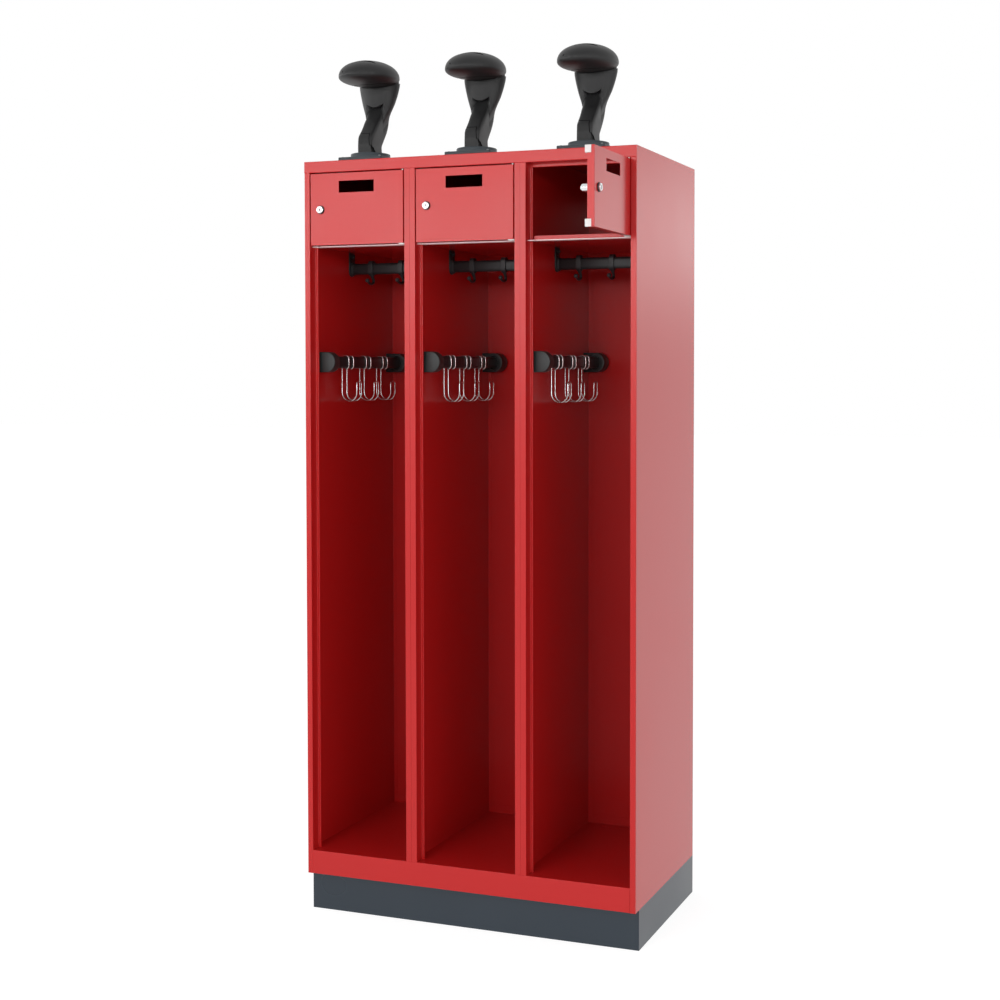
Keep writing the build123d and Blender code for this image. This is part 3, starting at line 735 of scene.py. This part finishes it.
# Own x to the left, own y up, own z to the rear.
along_wall = Matrix(((-1, 0, 0, 0), (0, 0, 1, 0), (0, 1, 0, 0), (0, 0, 0, 1)))
side_tubes = []
for bay in BAYS:
    tube = slab_mesh("side_tube", oval_outline(SIDE_RAIL_HIGH, SIDE_RAIL_WIDE), *SIDE_RAIL_Y, RAIL_EDGE)
    side_tubes.append((tube, at(WALLS[bay][0] + SIDE_RAIL_FROM_WALL, 0, SIDE_RAIL_Z) @ along_wall))
side_rail_set = joined_mesh("side_rail_tubes", *side_tubes)
put("side_rail_tubes", side_rail_set, black_rail, "carcass", stands_for=["side_rails"])


# Side rail brackets
# D-shaped moulded blocks screwed to the wall at both ends of the side rail, with
# a round recess in the face round the tube.
BRACKET_GREY = (0.015, 0.016, 0.016)
BRACKET_HIGH = 53.0
BRACKET_RIM = 6.0
BRACKET_RECESS = 8.0
BRACKET_ENDS = ((-205.0, -175.0, 1), (205.0, 245.0, -1))
BRACKET_SCREW = (-26.0, 15.5)

bracket_moulding = finish_with(
    "dark moulded bracket",
    moulded_grain,
    {"Colour": BRACKET_GREY, "Grain": 1200.0, "Gloss low": 0.36, "Gloss high": 0.46, "Drift": 0.08},
    specular=0.38,
    peel=0.12,
)
bracket_radius = BRACKET_HIGH / 2
bracket_outline = [(-SIDE_RAIL_FROM_WALL, -bracket_radius)]
for step in range(25):
    angle = math.pi * (step / 24 - 0.5)
    bracket_outline.append((bracket_radius * math.cos(angle), bracket_radius * math.sin(angle)))
bracket_outline.append((-SIDE_RAIL_FROM_WALL, bracket_radius))


def cut_mesh(mesh, name, *cutters):
    """The mesh with closed forms cut out of it."""
    tools = []
    steps = []
    for cutter in cutters:
        tool = bpy.data.objects.new("cutter", cutter)
        scene.collection.objects.link(tool)
        tools.append(tool)
        settings = {"object": tool, "operation": "DIFFERENCE", "solver": "EXACT", "material_mode": "TRANSFER"}
        steps.append(("BOOLEAN", settings))
    cut = worked_mesh(mesh, name, *steps)
    for tool in tools:
        bpy.data.objects.remove(tool)
    return cut


# Own x to the right, own y up, own z to the front.
from_front = Matrix(((1, 0, 0, 0), (0, 0, -1, 0), (0, 1, 0, 0), (0, 0, 0, 1)))
brackets = []
bracket_screws = []
for low, high, facing in BRACKET_ENDS:
    deep = high - low
    block = slab_mesh("bracket_block", bracket_outline, 0, deep, 1.6, 3)
    open_end = (deep - BRACKET_RECESS, deep + 1) if facing < 0 else (-1, BRACKET_RECESS)
    bowl = turned_mesh("bracket_bowl", [(bracket_radius - BRACKET_RIM, level) for level in open_end])
    block = smooth_mesh(cut_mesh(block, "bracket", bowl))
    for bay in BAYS:
        place = at(WALLS[bay][0] + SIDE_RAIL_FROM_WALL, high, SIDE_RAIL_Z) @ from_front
        brackets.append((block, place))
        face = 0 if facing < 0 else deep
        turn = Matrix.Rotation(math.pi, 4, "X") if facing < 0 else Matrix.Identity(4)
        for rise in (-BRACKET_SCREW[1], BRACKET_SCREW[1]):
            bracket_screws.append((screw_mesh, place @ at(BRACKET_SCREW[0], rise, face) @ turn))
bracket_set = joined_mesh("rail_brackets", *brackets)
put(
    "rail_brackets",
    bracket_set,
    bracket_moulding,
    "carcass",
    stands_for=["side_rail_brackets"],
)
bracket_screw_set = joined_mesh("bracket_screws", *bracket_screws)
put("bracket_screws", bracket_screw_set, zinc_plate, "carcass")


# Wire hooks
# Each is one length of bright 4 mm wire bent into a pair of hooks: both ends
# wrap the tube, run down, turn up at the mouth and meet in a bridge.
# The wire colour is steel grey with a pink tint: the grey is its own, the pink is a painted reflection of the red coat.
WIRE_STEEL_AND_PAINTED_REFLECTION = (0.62, 0.55, 0.55)
WIRE_RADIUS = 2.0
WIRE_SHOWN_RADIUS = 1.8
WIRE_GAP = 0.3
WIRE_SPACING = 26.0
HOOK_MOUTH = 44.0
HOOK_LOW = -103.0
HOOK_TIP = -52.0
TIP_BEND = 6.0
WIRE_MIDDLE_Y = 14.5
WIRE_PITCH = 99.5


def bent_route(corners, bends, steps=8):
    """Points along a wire: straight runs with a true arc at each inner corner."""
    corners = [Vector(corner) for corner in corners]
    line = [corners[0]]
    for before, corner, after, bend in zip(corners, corners[1:], corners[2:], bends):
        back = (before - corner).normalized()
        ahead = (after - corner).normalized()
        half = back.angle(ahead) / 2
        reach = bend / math.tan(half)
        centre = corner + (back + ahead).normalized() * bend / math.sin(half)
        start = corner + back * reach - centre
        onward = -back * bend
        sweep = math.pi - 2 * half
        for step in range(steps + 1):
            angle = sweep * step / steps
            line.append(centre + start * math.cos(angle) + onward * math.sin(angle))
    line.append(corners[-1])
    kept = [line[0]]
    for spot in line[1:]:
        if (spot - kept[-1]).length > 0.4:
            kept.append(spot)
    return [tuple(spot) for spot in kept]


loop_half = SIDE_RAIL_WIDE / 2 + WIRE_GAP + WIRE_RADIUS
loop_rise = SIDE_RAIL_HIGH / 2 + WIRE_GAP + WIRE_RADIUS
half_route = (
    (0, -loop_rise),
    (loop_half, -loop_rise),
    (loop_half, loop_rise),
    (-loop_half, loop_rise),
    (-loop_half, HOOK_LOW),
    (HOOK_MOUTH - loop_half, HOOK_LOW),
    (HOOK_MOUTH - loop_half, HOOK_TIP),
)
half_bends = [loop_half, loop_half, loop_half, HOOK_MOUTH / 2, HOOK_MOUTH / 2]
wire_corners = [(x, -WIRE_SPACING / 2, z) for x, z in half_route]
wire_corners += [(x, WIRE_SPACING / 2, z) for x, z in reversed(half_route)]
wire_line = bent_route(wire_corners, half_bends + [TIP_BEND, TIP_BEND] + half_bends[::-1])
wire_mesh = smooth_mesh(swept_mesh("bent_wire", wire_line, [WIRE_SHOWN_RADIUS] * len(wire_line), 14), 50)
bright_wire = finish_with(
    "bright drawn wire",
    drawn_streaks,
    {
        "Colour": WIRE_STEEL_AND_PAINTED_REFLECTION,
        "Across X": 500.0,
        "Across Y": 500.0,
        "Across Z": 40.0,
        "Gloss low": 0.18,
        "Gloss high": 0.28,
        "Contrast": 0.06,
    },
    metallic=1.0,
)
for bay in BAYS:
    for number in (1, 2, 3):
        hook_y = WIRE_MIDDLE_Y + (number - 2) * WIRE_PITCH
        put(
            f"double_wire_hook_{bay}_{number}",
            wire_mesh,
            bright_wire,
            f"wire_hook_{bay}_{number}",
            at(WALLS[bay][0] + SIDE_RAIL_FROM_WALL, hook_y, SIDE_RAIL_Z),
            stands_for=[f"wire_hook_{bay}_{number}"],
        )


# Helmet holder plates
# Square grey feet on the roof, screwed down at their corners, each with the
# pivot on which the holder turns.
PLATE_GREY = (0.023, 0.030, 0.036)
BODY_TOP = 1950.0
HOLDER_Y = -170.0
PLATE_HALF = 62.5
PLATE_HIGH = 10.0
PLATE_CORNER = 6.0
PLATE_SCREW = 53.0
PIVOT_SHAPE = ((10.0, 9.0), (10.0, 16.4), (9.4, 17.0))

reach = PLATE_HALF - PLATE_CORNER
plate_outline = []
for quarter, (side_x, side_y) in enumerate(((1, 1), (-1, 1), (-1, -1), (1, -1))):
    for step in range(7):
        turn = math.pi / 2 * (quarter + step / 6)
        x, y = PLATE_CORNER * math.cos(turn), PLATE_CORNER * math.sin(turn)
        plate_outline.append((side_x * reach + x, side_y * reach + y))
foot_plate = finish_with(
    "grey moulded foot",
    moulded_grain,
    {"Colour": PLATE_GREY, "Grain": 1200.0, "Gloss low": 0.38, "Gloss high": 0.48, "Drift": 0.06},
    specular=0.36,
    peel=0.10,
)
square_foot = slab_mesh("square_foot", plate_outline, 0, PLATE_HIGH, 1.2)
pivot = turned_mesh("pivot", PIVOT_SHAPE, 32)
feet = []
foot_screws = []
for bay in BAYS:
    place = at(bay_middle(bay), HOLDER_Y, BODY_TOP)
    feet += [(square_foot, place), (pivot, place)]
    for x in (-PLATE_SCREW, PLATE_SCREW):
        for y in (-PLATE_SCREW, PLATE_SCREW):
            foot_screws.append((screw_mesh, place @ at(x, y, PLATE_HIGH)))
foot_set = joined_mesh("holder_feet", *feet)
put("holder_feet", foot_set, foot_plate, "carcass", stands_for=["helmet_plates"])
put("foot_screws", joined_mesh("foot_screws", *foot_screws), zinc_plate, "carcass")


# Helmet necks
# Black moulded stems that turn with the disc below: a boxed foot with a clipped
# front cover, and a flaring cup whose ears come down over the stem.
HOLDER_BLACK = (0.0085, 0.0085, 0.0088)
DISC_LOW = 1960.3
NECK_LEVELS = (1972, 1994, 2014, 2030, 2044, 2057, 2066, 2077, 2088, 2100, 2118, 2132, 2148)
NECK_HALF = (21.6, 20.4, 21.8, 21.9, 22.5, 24.1, 27.9, 33.2, 38.5, 43.8, 50.2, 54.3, 57.1)
NECK_FRONT = (-34.0, -36.5, -32.1, -17.4, -5.1, 5.1, 14.3, 20.5, 22.5, 22.5, 22.3, 21.5, 18.2)
NECK_REAR = (29.5, 28.5, 41.8, 55.0, 63.5, 68.0, 66.3, 64.5, 67.5, 74.7, 81.1, 85.0, 91.6)
NECK_ROUND = (0.2, 0.2, 0.2, 0.25, 0.35, 0.5, 0.66, 0.76, 0.8, 0.84, 0.9, 0.93, 0.95)
STEM_HALF = (21.6, 20.4, 21.8, 21.9, 22.5, 23.2, 23.2, 23.2, 23.2, 23.2, 23.2, 23.2, 23.2)
STEM_FRONT = (-34.0, -36.5, -32.1, -17.4, -5.1, 5.1, 14.6, 22.5, 30.0, 38.0, 44.0, 44.0, 44.0)
STEM_ROUND = (0.2, 0.2, 0.2, 0.25, 0.3, 0.3, 0.3, 0.3, 0.3, 0.3, 0.3, 0.3, 0.3)
RIM_FRONT = 2144.5
RIM_RISE = 20.5
RIM_RUN = 60.0
RIM_CURVE = 0.8
# Rows inside the rim: how far in from it, and how far above it, or None where
# the wall runs on up into the head.
RIM_ROWS = ((1.6, 0.3), (2.4, -1.2), (3.0, None), (16.0, None))
HEAD_OVERLAP = 2.0
DISC_SHAPE = ((10.2, 0.0), (50.2, 0.0), (51.0, 0.8), (51.0, 9.4), (50.2, 11.0), (48.6, 11.7), (10.2, 11.7))
EAR_STEP = 2.4
EAR_TIP = (28.0, 2041.0)
EAR_SLOPE = 0.76
EAR_FRONT = (25.0, 2104.0)
EAR_LEAN = 0.05
EAR_LEVEL_Y = 75.0
EAR_DEPTH = 18.0
EAR_FADE = (44.0, 60.0)
RECESS_HALF = 22.0
RECESS_TOP = 2096.0
RECESS_ARCH = 8.0
SKIN_FOLD = 38
CUT_FROM = -60.0
# Seams of the front cover: x, inner end of the cut and height at both ends, then
# the width at each.
COVER_SEAMS = (
    ((-27.0, -19.5, 2023.6), (11.2, -19.5, 2023.6), 1.5, 1.5),
    ((10.5, -20.0, 2024.3), (15.2, -31.5, 1991.4), 1.6, 1.7),
    ((14.6, -31.5, 1992.0), (19.6, -29.0, 1991.2), 1.5, 1.5),
    ((18.4, -29.0, 1992.0), (21.6, -12.0, 1974.4), 1.8, 4.2),
)
HEAD_HALF = 73.3
HEAD_LONG = 94.8
HEAD_SET = -5.4
HEAD_GIRTH = 2167.3
HEAD_CROWN = 43.2
HEAD_BELLY = 21.0
HEAD_TILT = 0.035
HEAD_POWER = 2.14
ROUND_STEPS = 168
RISE_STEP = 1.3
BLEND_ROWS = 4
# Near-black for every cut face of the holder: painted shade in the slot, nose hole, crease and seams.
HOLLOW_PAINTED_SHADE = (0.002, 0.002, 0.002)

holder_black = finish_with(
    "black moulded holder",
    moulded_grain,
    {"Colour": HOLDER_BLACK, "Grain": 900.0, "Gloss low": 0.42, "Gloss high": 0.52, "Drift": 0.10},
    specular=0.33,
    peel=0.10,
)
# This material on the cut faces is painted shade where the hollows and grooves fall dark.
hollow_painted_shade = finish_with(
    "shaded hollow of the holder",
    moulded_grain,
    {"Colour": HOLLOW_PAINTED_SHADE, "Grain": 900.0, "Gloss low": 0.60, "Gloss high": 0.70, "Drift": 0.10},
    specular=0.15,
)


def eased(value, low, high):
    """0 below low, 1 above high, and a smooth step between."""
    t = np.clip((value - low) / (high - low), 0, 1)
    return t * t * (3 - 2 * t)


def head_height(x, y, high):
    """Height of the head's skin over a point: above its girth, or below it."""
    share = math.hypot(x / HEAD_HALF, (y - HEAD_SET) / HEAD_LONG)
    rise = max(0.0, 1 - share**HEAD_POWER) ** (1 / HEAD_POWER)
    return HEAD_GIRTH + HEAD_TILT * (y - HEAD_SET) + high * rise


def neck_section(level, halves, fronts, rounds):
    """Points round the neck at a level, evenly spaced from the middle of its front."""
    half, near, far, roundness = (np.interp(level, NECK_LEVELS, table) for table in (halves, fronts, NECK_REAR, rounds))
    power = 2 + 9 * (1 - roundness) ** 2
    turn = np.linspace(0, 2 * math.pi, 1441)
    x = half * np.sign(np.sin(turn)) * np.abs(np.sin(turn)) ** (2 / power)
    y = (near + far) / 2 - (far - near) / 2 * np.sign(np.cos(turn)) * np.abs(np.cos(turn)) ** (2 / power)
    run = np.concatenate(([0], np.cumsum(np.hypot(np.diff(x), np.diff(y)))))
    even = np.linspace(0, run[-1], ROUND_STEPS, endpoint=False)
    return np.stack((np.interp(even, run, x), np.interp(even, run, y)), axis=1)


def neck_skin_points(levels, *tables):
    """Rows of points up the neck, each averaged with its neighbours."""
    sections = [neck_section(level, *tables) for level in levels]
    rows = range(len(levels))
    return np.array([np.mean(sections[max(0, row - BLEND_ROWS) : row + BLEND_ROWS + 1], axis=0) for row in rows])


levels = np.arange(NECK_LEVELS[0], RIM_FRONT, RISE_STEP)
cup_skin = neck_skin_points(levels, NECK_HALF, NECK_FRONT, NECK_ROUND)
stem_skin = neck_skin_points(levels, STEM_HALF, STEM_FRONT, STEM_ROUND)
grid = np.concatenate((cup_skin, np.repeat(levels[:, None, None], ROUND_STEPS, axis=1)), axis=2)
rim = RIM_FRONT + RIM_RISE * np.clip((grid[-1, :, 1] - NECK_FRONT[-1]) / RIM_RUN, 0, 1) ** RIM_CURVE
climb = np.linspace(0, 1, len(levels))[:, None] ** 3
grid[:, :, 2] += climb * (rim - levels[-1])[None, :]
ahead = np.roll(grid, -1, axis=1) - np.roll(grid, 1, axis=1)
outward = np.stack((ahead[:, :, 1], -ahead[:, :, 0]), axis=2)
outward /= np.linalg.norm(outward, axis=2)[:, :, None]
x, y, z = grid[:, :, 0], grid[:, :, 1], grid[:, :, 2]
ear_front = EAR_FRONT[0] + EAR_LEAN * (EAR_FRONT[1] - z)
ahead_of_ear = 1 - eased(y, ear_front - 1.3, ear_front + 1.3)
in_recess = ahead_of_ear * (1 - eased(z - RECESS_TOP - RECESS_ARCH * (x / RECESS_HALF) ** 2, -1.0, 1.0))
ear_rise = z - EAR_TIP[1] - EAR_SLOPE * (np.minimum(y, EAR_LEVEL_Y) - EAR_TIP[0])
under_ear = (1 - eased(ear_rise, -0.9, 0.9)) * eased(ear_rise, -EAR_DEPTH, -1)
under_ear *= (1 - ahead_of_ear) * (1 - eased(y, *EAR_FADE))
grid[:, :, :2] -= outward * (EAR_STEP * under_ear)[:, :, None]
grid[:, :, :2] += (stem_skin - grid[:, :, :2]) * in_recess[:, :, None]
rim_row = grid[-1]
centre = rim_row.mean(axis=0)
reach = np.linalg.norm(rim_row[:, :2] - centre[:2], axis=1)[:, None]
into_head = np.array([head_height(spot[0], spot[1], -HEAD_BELLY) for spot in rim_row]) + HEAD_OVERLAP
inner_rows = []
for shrink, rise in RIM_ROWS:
    row = rim_row.copy()
    row[:, :2] = centre[:2] + (rim_row[:, :2] - centre[:2]) * (1 - shrink / reach)
    row[:, 2] = into_head if rise is None else row[:, 2] + rise
    inner_rows.append(row)
grid = np.concatenate((grid, np.array(inner_rows)))


def seam_cutter(start, end, *widths):
    """A thin wedge that cuts a seam from the front, between two points."""
    run = np.array((end[0] - start[0], end[2] - start[2]))
    across = np.array((-run[1], run[0])) / np.linalg.norm(run)
    rings = []
    for (x, inner, z), wide in zip((start, end), widths):
        ring = []
        for side, depth in ((1, CUT_FROM), (-1, CUT_FROM), (-1, inner), (1, inner)):
            ring.append((x + side * across[0] * wide / 2, depth, z + side * across[1] * wide / 2))
        rings.append(ring)
    return ringed_mesh("seam_cutter", rings)


neck_skin = smooth_mesh(ringed_mesh("neck_skin", grid), SKIN_FOLD)
neck_skin.materials.append(holder_black)
seam_cutters = [seam_cutter(*seam) for seam in COVER_SEAMS]
# The seam grooves take the near-black cut material: painted shade in them.
for cutter in seam_cutters:
    cutter.materials.append(hollow_painted_shade)
neck_mesh = smooth_mesh(cut_mesh(neck_skin, "helmet_neck", *seam_cutters), SKIN_FOLD)
disc_mesh = turned_mesh("turning_disc", DISC_SHAPE, 96, closed=True)
for bay in BAYS:
    body = f"helmet_holder_{bay}"
    put(
        f"neck_moulding_{bay}",
        neck_mesh,
        holder_black,
        body,
        at(bay_middle(bay), HOLDER_Y, 0),
        stands_for=[f"helmet_neck_{bay}"],
    )
    disc_place = at(bay_middle(bay), HOLDER_Y, DISC_LOW)
    put(f"turning_disc_{bay}", disc_mesh, foot_plate, body, disc_place)


# Helmet heads
# The rounded rest on which the helmet sits: a long black dome over a flatter
# belly, moulded hollow, with a slot across its crown and a small hole at the nose.
HEAD_ROWS = 44
HEAD_SIDES = 112
SLOT_HALF = 44.0
SLOT_Y = -54.0
SLOT_WIDE = 20.0
SLOT_END = 0.6
NOSE_SPOT = (-33.3, -89.2, 2172.5)
NOSE_RADIUS = 2.6
CREASE_MIDDLE = 30.0
CREASE_REACH = (56.0, 65.0)
CREASE_DEEP = 2.2
CREASE_STEPS = 20
CREASE_TURN = 4.6

rows = []
turn = np.linspace(0, 2 * math.pi, HEAD_SIDES, endpoint=False)
for step in range(1, HEAD_ROWS):
    climb = -math.pi / 2 + math.pi * step / HEAD_ROWS
    high = HEAD_CROWN if climb > 0 else HEAD_BELLY
    level = HEAD_GIRTH + high * math.copysign(abs(math.sin(climb)) ** (2 / HEAD_POWER), climb)
    size = math.cos(climb) ** (2 / HEAD_POWER)
    along = HEAD_LONG * size * np.sin(turn)
    rows.append(np.stack((HEAD_HALF * size * np.cos(turn), HEAD_SET + along, level + HEAD_TILT * along), axis=1))
dome = smooth_mesh(ringed_mesh("dome", rows), SKIN_FOLD)
dome.materials.append(holder_black)
slot_line = []
slot_radii = []
for step in range(33):
    share = step / 16 - 1
    slot_line.append((SLOT_HALF * share, SLOT_Y, head_height(SLOT_HALF * share, SLOT_Y, HEAD_CROWN)))
    slot_radii.append(SLOT_END + SLOT_WIDE / 2 * (1 - share**2))
slot_cutter = swept_mesh("slot_cutter", slot_line, slot_radii, 20)
nose_cutter = ball_mesh("nose_cutter", NOSE_RADIUS)
nose_cutter.transform(at(*NOSE_SPOT))
crease_line = []
for step in range(-CREASE_STEPS, CREASE_STEPS + 1):
    angle = math.radians(CREASE_TURN * step)
    x = CREASE_REACH[0] * math.sin(angle)
    y = CREASE_MIDDLE - CREASE_REACH[1] * math.cos(angle)
    crease_line.append((x, y, head_height(x, y, -HEAD_BELLY)))
crease_cutter = swept_mesh("crease_cutter", crease_line, [CREASE_DEEP] * len(crease_line), 10)
# The slot, nose hole and crease take the near-black cut material: painted shade in them.
for cutter in (slot_cutter, nose_cutter, crease_cutter):
    cutter.materials.append(hollow_painted_shade)
head_mesh = smooth_mesh(cut_mesh(dome, "helmet_head", slot_cutter, nose_cutter, crease_cutter), SKIN_FOLD)
for bay in BAYS:
    put(
        f"head_moulding_{bay}",
        head_mesh,
        holder_black,
        f"helmet_holder_{bay}",
        at(bay_middle(bay), HOLDER_Y, 0),
        stands_for=[f"helmet_head_{bay}"],
    )


# Studio
# A wide pale floor that keeps a soft contact shadow, an even surround that is a
# little dimmer in front, one large soft lamp, and a low band that shows in the coat.
FLOOR_HALF = 30.0
FLOOR_GLOW = 0.85
FLOOR_BOUNCE = 0.55
FLOOR_COLOUR = (0.29, 0.29, 0.29)
SURROUND_FRONT = 0.56
SURROUND_REAR = 0.72
BAND_HEIGHT = math.sin(math.radians(5.0))
BAND_HALF = math.sin(math.radians(4.0))
BAND_FRONT = 9.6
BAND_REAR = 1.0
BAND_TURN = 0.4
SURROUND_TURN = 0.3
LAMP_POWER = 34.0
LAMP_SIZE = (1.6, 1.2)
LAMP_SPOT = (-0.5, -3.3, 2.2)
LAMP_AIM = (0.0, -0.25, 1.4)

floor_form = bmesh.new()
bmesh.ops.create_grid(floor_form, x_segments=8, y_segments=8, size=FLOOR_HALF)
floor_mesh = finished_mesh("studio_floor", floor_form)
studio_floor = bpy.data.objects.new("studio_floor", floor_mesh)
scene.collection.objects.link(studio_floor)
floor_finish = bpy.data.materials.new("pale studio floor")
floor_finish.use_nodes = True
floor_tree = floor_finish.node_tree
floor_tree.nodes.clear()
floor_out = floor_tree.nodes.new("ShaderNodeOutputMaterial")
floor_sum = floor_tree.nodes.new("ShaderNodeAddShader")
floor_glow = floor_tree.nodes.new("ShaderNodeEmission")
floor_rays = floor_tree.nodes.new("ShaderNodeLightPath")
floor_level = range_node(floor_tree, floor_rays.outputs["Is Diffuse Ray"], FLOOR_GLOW, FLOOR_BOUNCE, 0.0, 1.0)
floor_tree.links.new(floor_level, floor_glow.inputs["Strength"])
floor_matt = floor_tree.nodes.new("ShaderNodeBsdfDiffuse")
floor_matt.inputs["Color"].default_value = (*FLOOR_COLOUR, 1)
floor_tree.links.new(floor_glow.outputs[0], floor_sum.inputs[0])
floor_tree.links.new(floor_matt.outputs[0], floor_sum.inputs[1])
floor_tree.links.new(floor_sum.outputs[0], floor_out.inputs["Surface"])
floor_mesh.materials.append(floor_finish)

surround = bpy.data.worlds.new("studio surround")
surround.use_nodes = True
scene.world = surround
sky = surround.node_tree
glow = sky.nodes["Background"]
rays = sky.nodes.new("ShaderNodeLightPath")
seen = sum_node(sky, rays.outputs["Is Camera Ray"], rays.outputs["Is Glossy Ray"])
seen = sum_node(sky, seen, rays.outputs["Is Transmission Ray"])
seen.node.use_clamp = True
heading = sky.nodes.new("ShaderNodeSeparateXYZ")
sky.links.new(sky.nodes.new("ShaderNodeTexCoord").outputs["Generated"], heading.inputs[0])
from_band = sum_node(sky, heading.outputs["Z"], BAND_HEIGHT, "SUBTRACT")
from_band = sum_node(sky, from_band, 0.0, "ABSOLUTE")
band_share = range_node(sky, from_band, 1.0, 0.0, 0.0, BAND_HALF)
band_share.node.interpolation_type = "SMOOTHSTEP"
band_level = range_node(sky, heading.outputs["Y"], BAND_FRONT, BAND_REAR, -BAND_TURN, BAND_TURN)
band = sum_node(sky, band_share, band_level, "MULTIPLY")
unseen = sum_node(sky, 1.0, rays.outputs["Is Camera Ray"], "SUBTRACT")
even = range_node(sky, heading.outputs["Y"], SURROUND_FRONT, SURROUND_REAR, -SURROUND_TURN, SURROUND_TURN)
even = range_node(sky, seen, even, 1.0, 0.0, 1.0)
sky.links.new(sum_node(sky, even, sum_node(sky, band, unseen, "MULTIPLY")), glow.inputs["Strength"])
glow.inputs["Color"].default_value = (1, 1, 1, 1)

soft_lamp = bpy.data.objects.new("soft_lamp", bpy.data.lights.new("soft_lamp", "AREA"))
scene.collection.objects.link(soft_lamp)
soft_lamp.data.shape = "RECTANGLE"
soft_lamp.data.size, soft_lamp.data.size_y = LAMP_SIZE
soft_lamp.data.energy = LAMP_POWER
soft_lamp.location = LAMP_SPOT
soft_lamp.rotation_euler = (Vector(LAMP_AIM) - Vector(LAMP_SPOT)).to_track_quat("-Z", "Y").to_euler()
soft_lamp.visible_glossy = False


# Camera
# At chest height, a little to the right of the front, looking two degrees down.
CAMERA_SPOT = (1.62266, -3.86299, 1.41205)
CAMERA_DIP = math.radians(2.0)
CAMERA_HEADING = 0.36227
CAMERA_LENS = 57.155
CAMERA_SHIFT = (-0.0594, -0.0736)
CAMERA_REACH = 100.0

view_camera = bpy.data.objects.new("view_camera", bpy.data.cameras.new("view_camera"))
scene.collection.objects.link(view_camera)
scene.camera = view_camera
view_camera.location = CAMERA_SPOT
view_camera.rotation_euler = (math.pi / 2 - CAMERA_DIP, 0, CAMERA_HEADING)
view_camera.data.lens = CAMERA_LENS
view_camera.data.shift_x, view_camera.data.shift_y = CAMERA_SHIFT
view_camera.data.clip_end = CAMERA_REACH

bpy.context.view_layer.update()
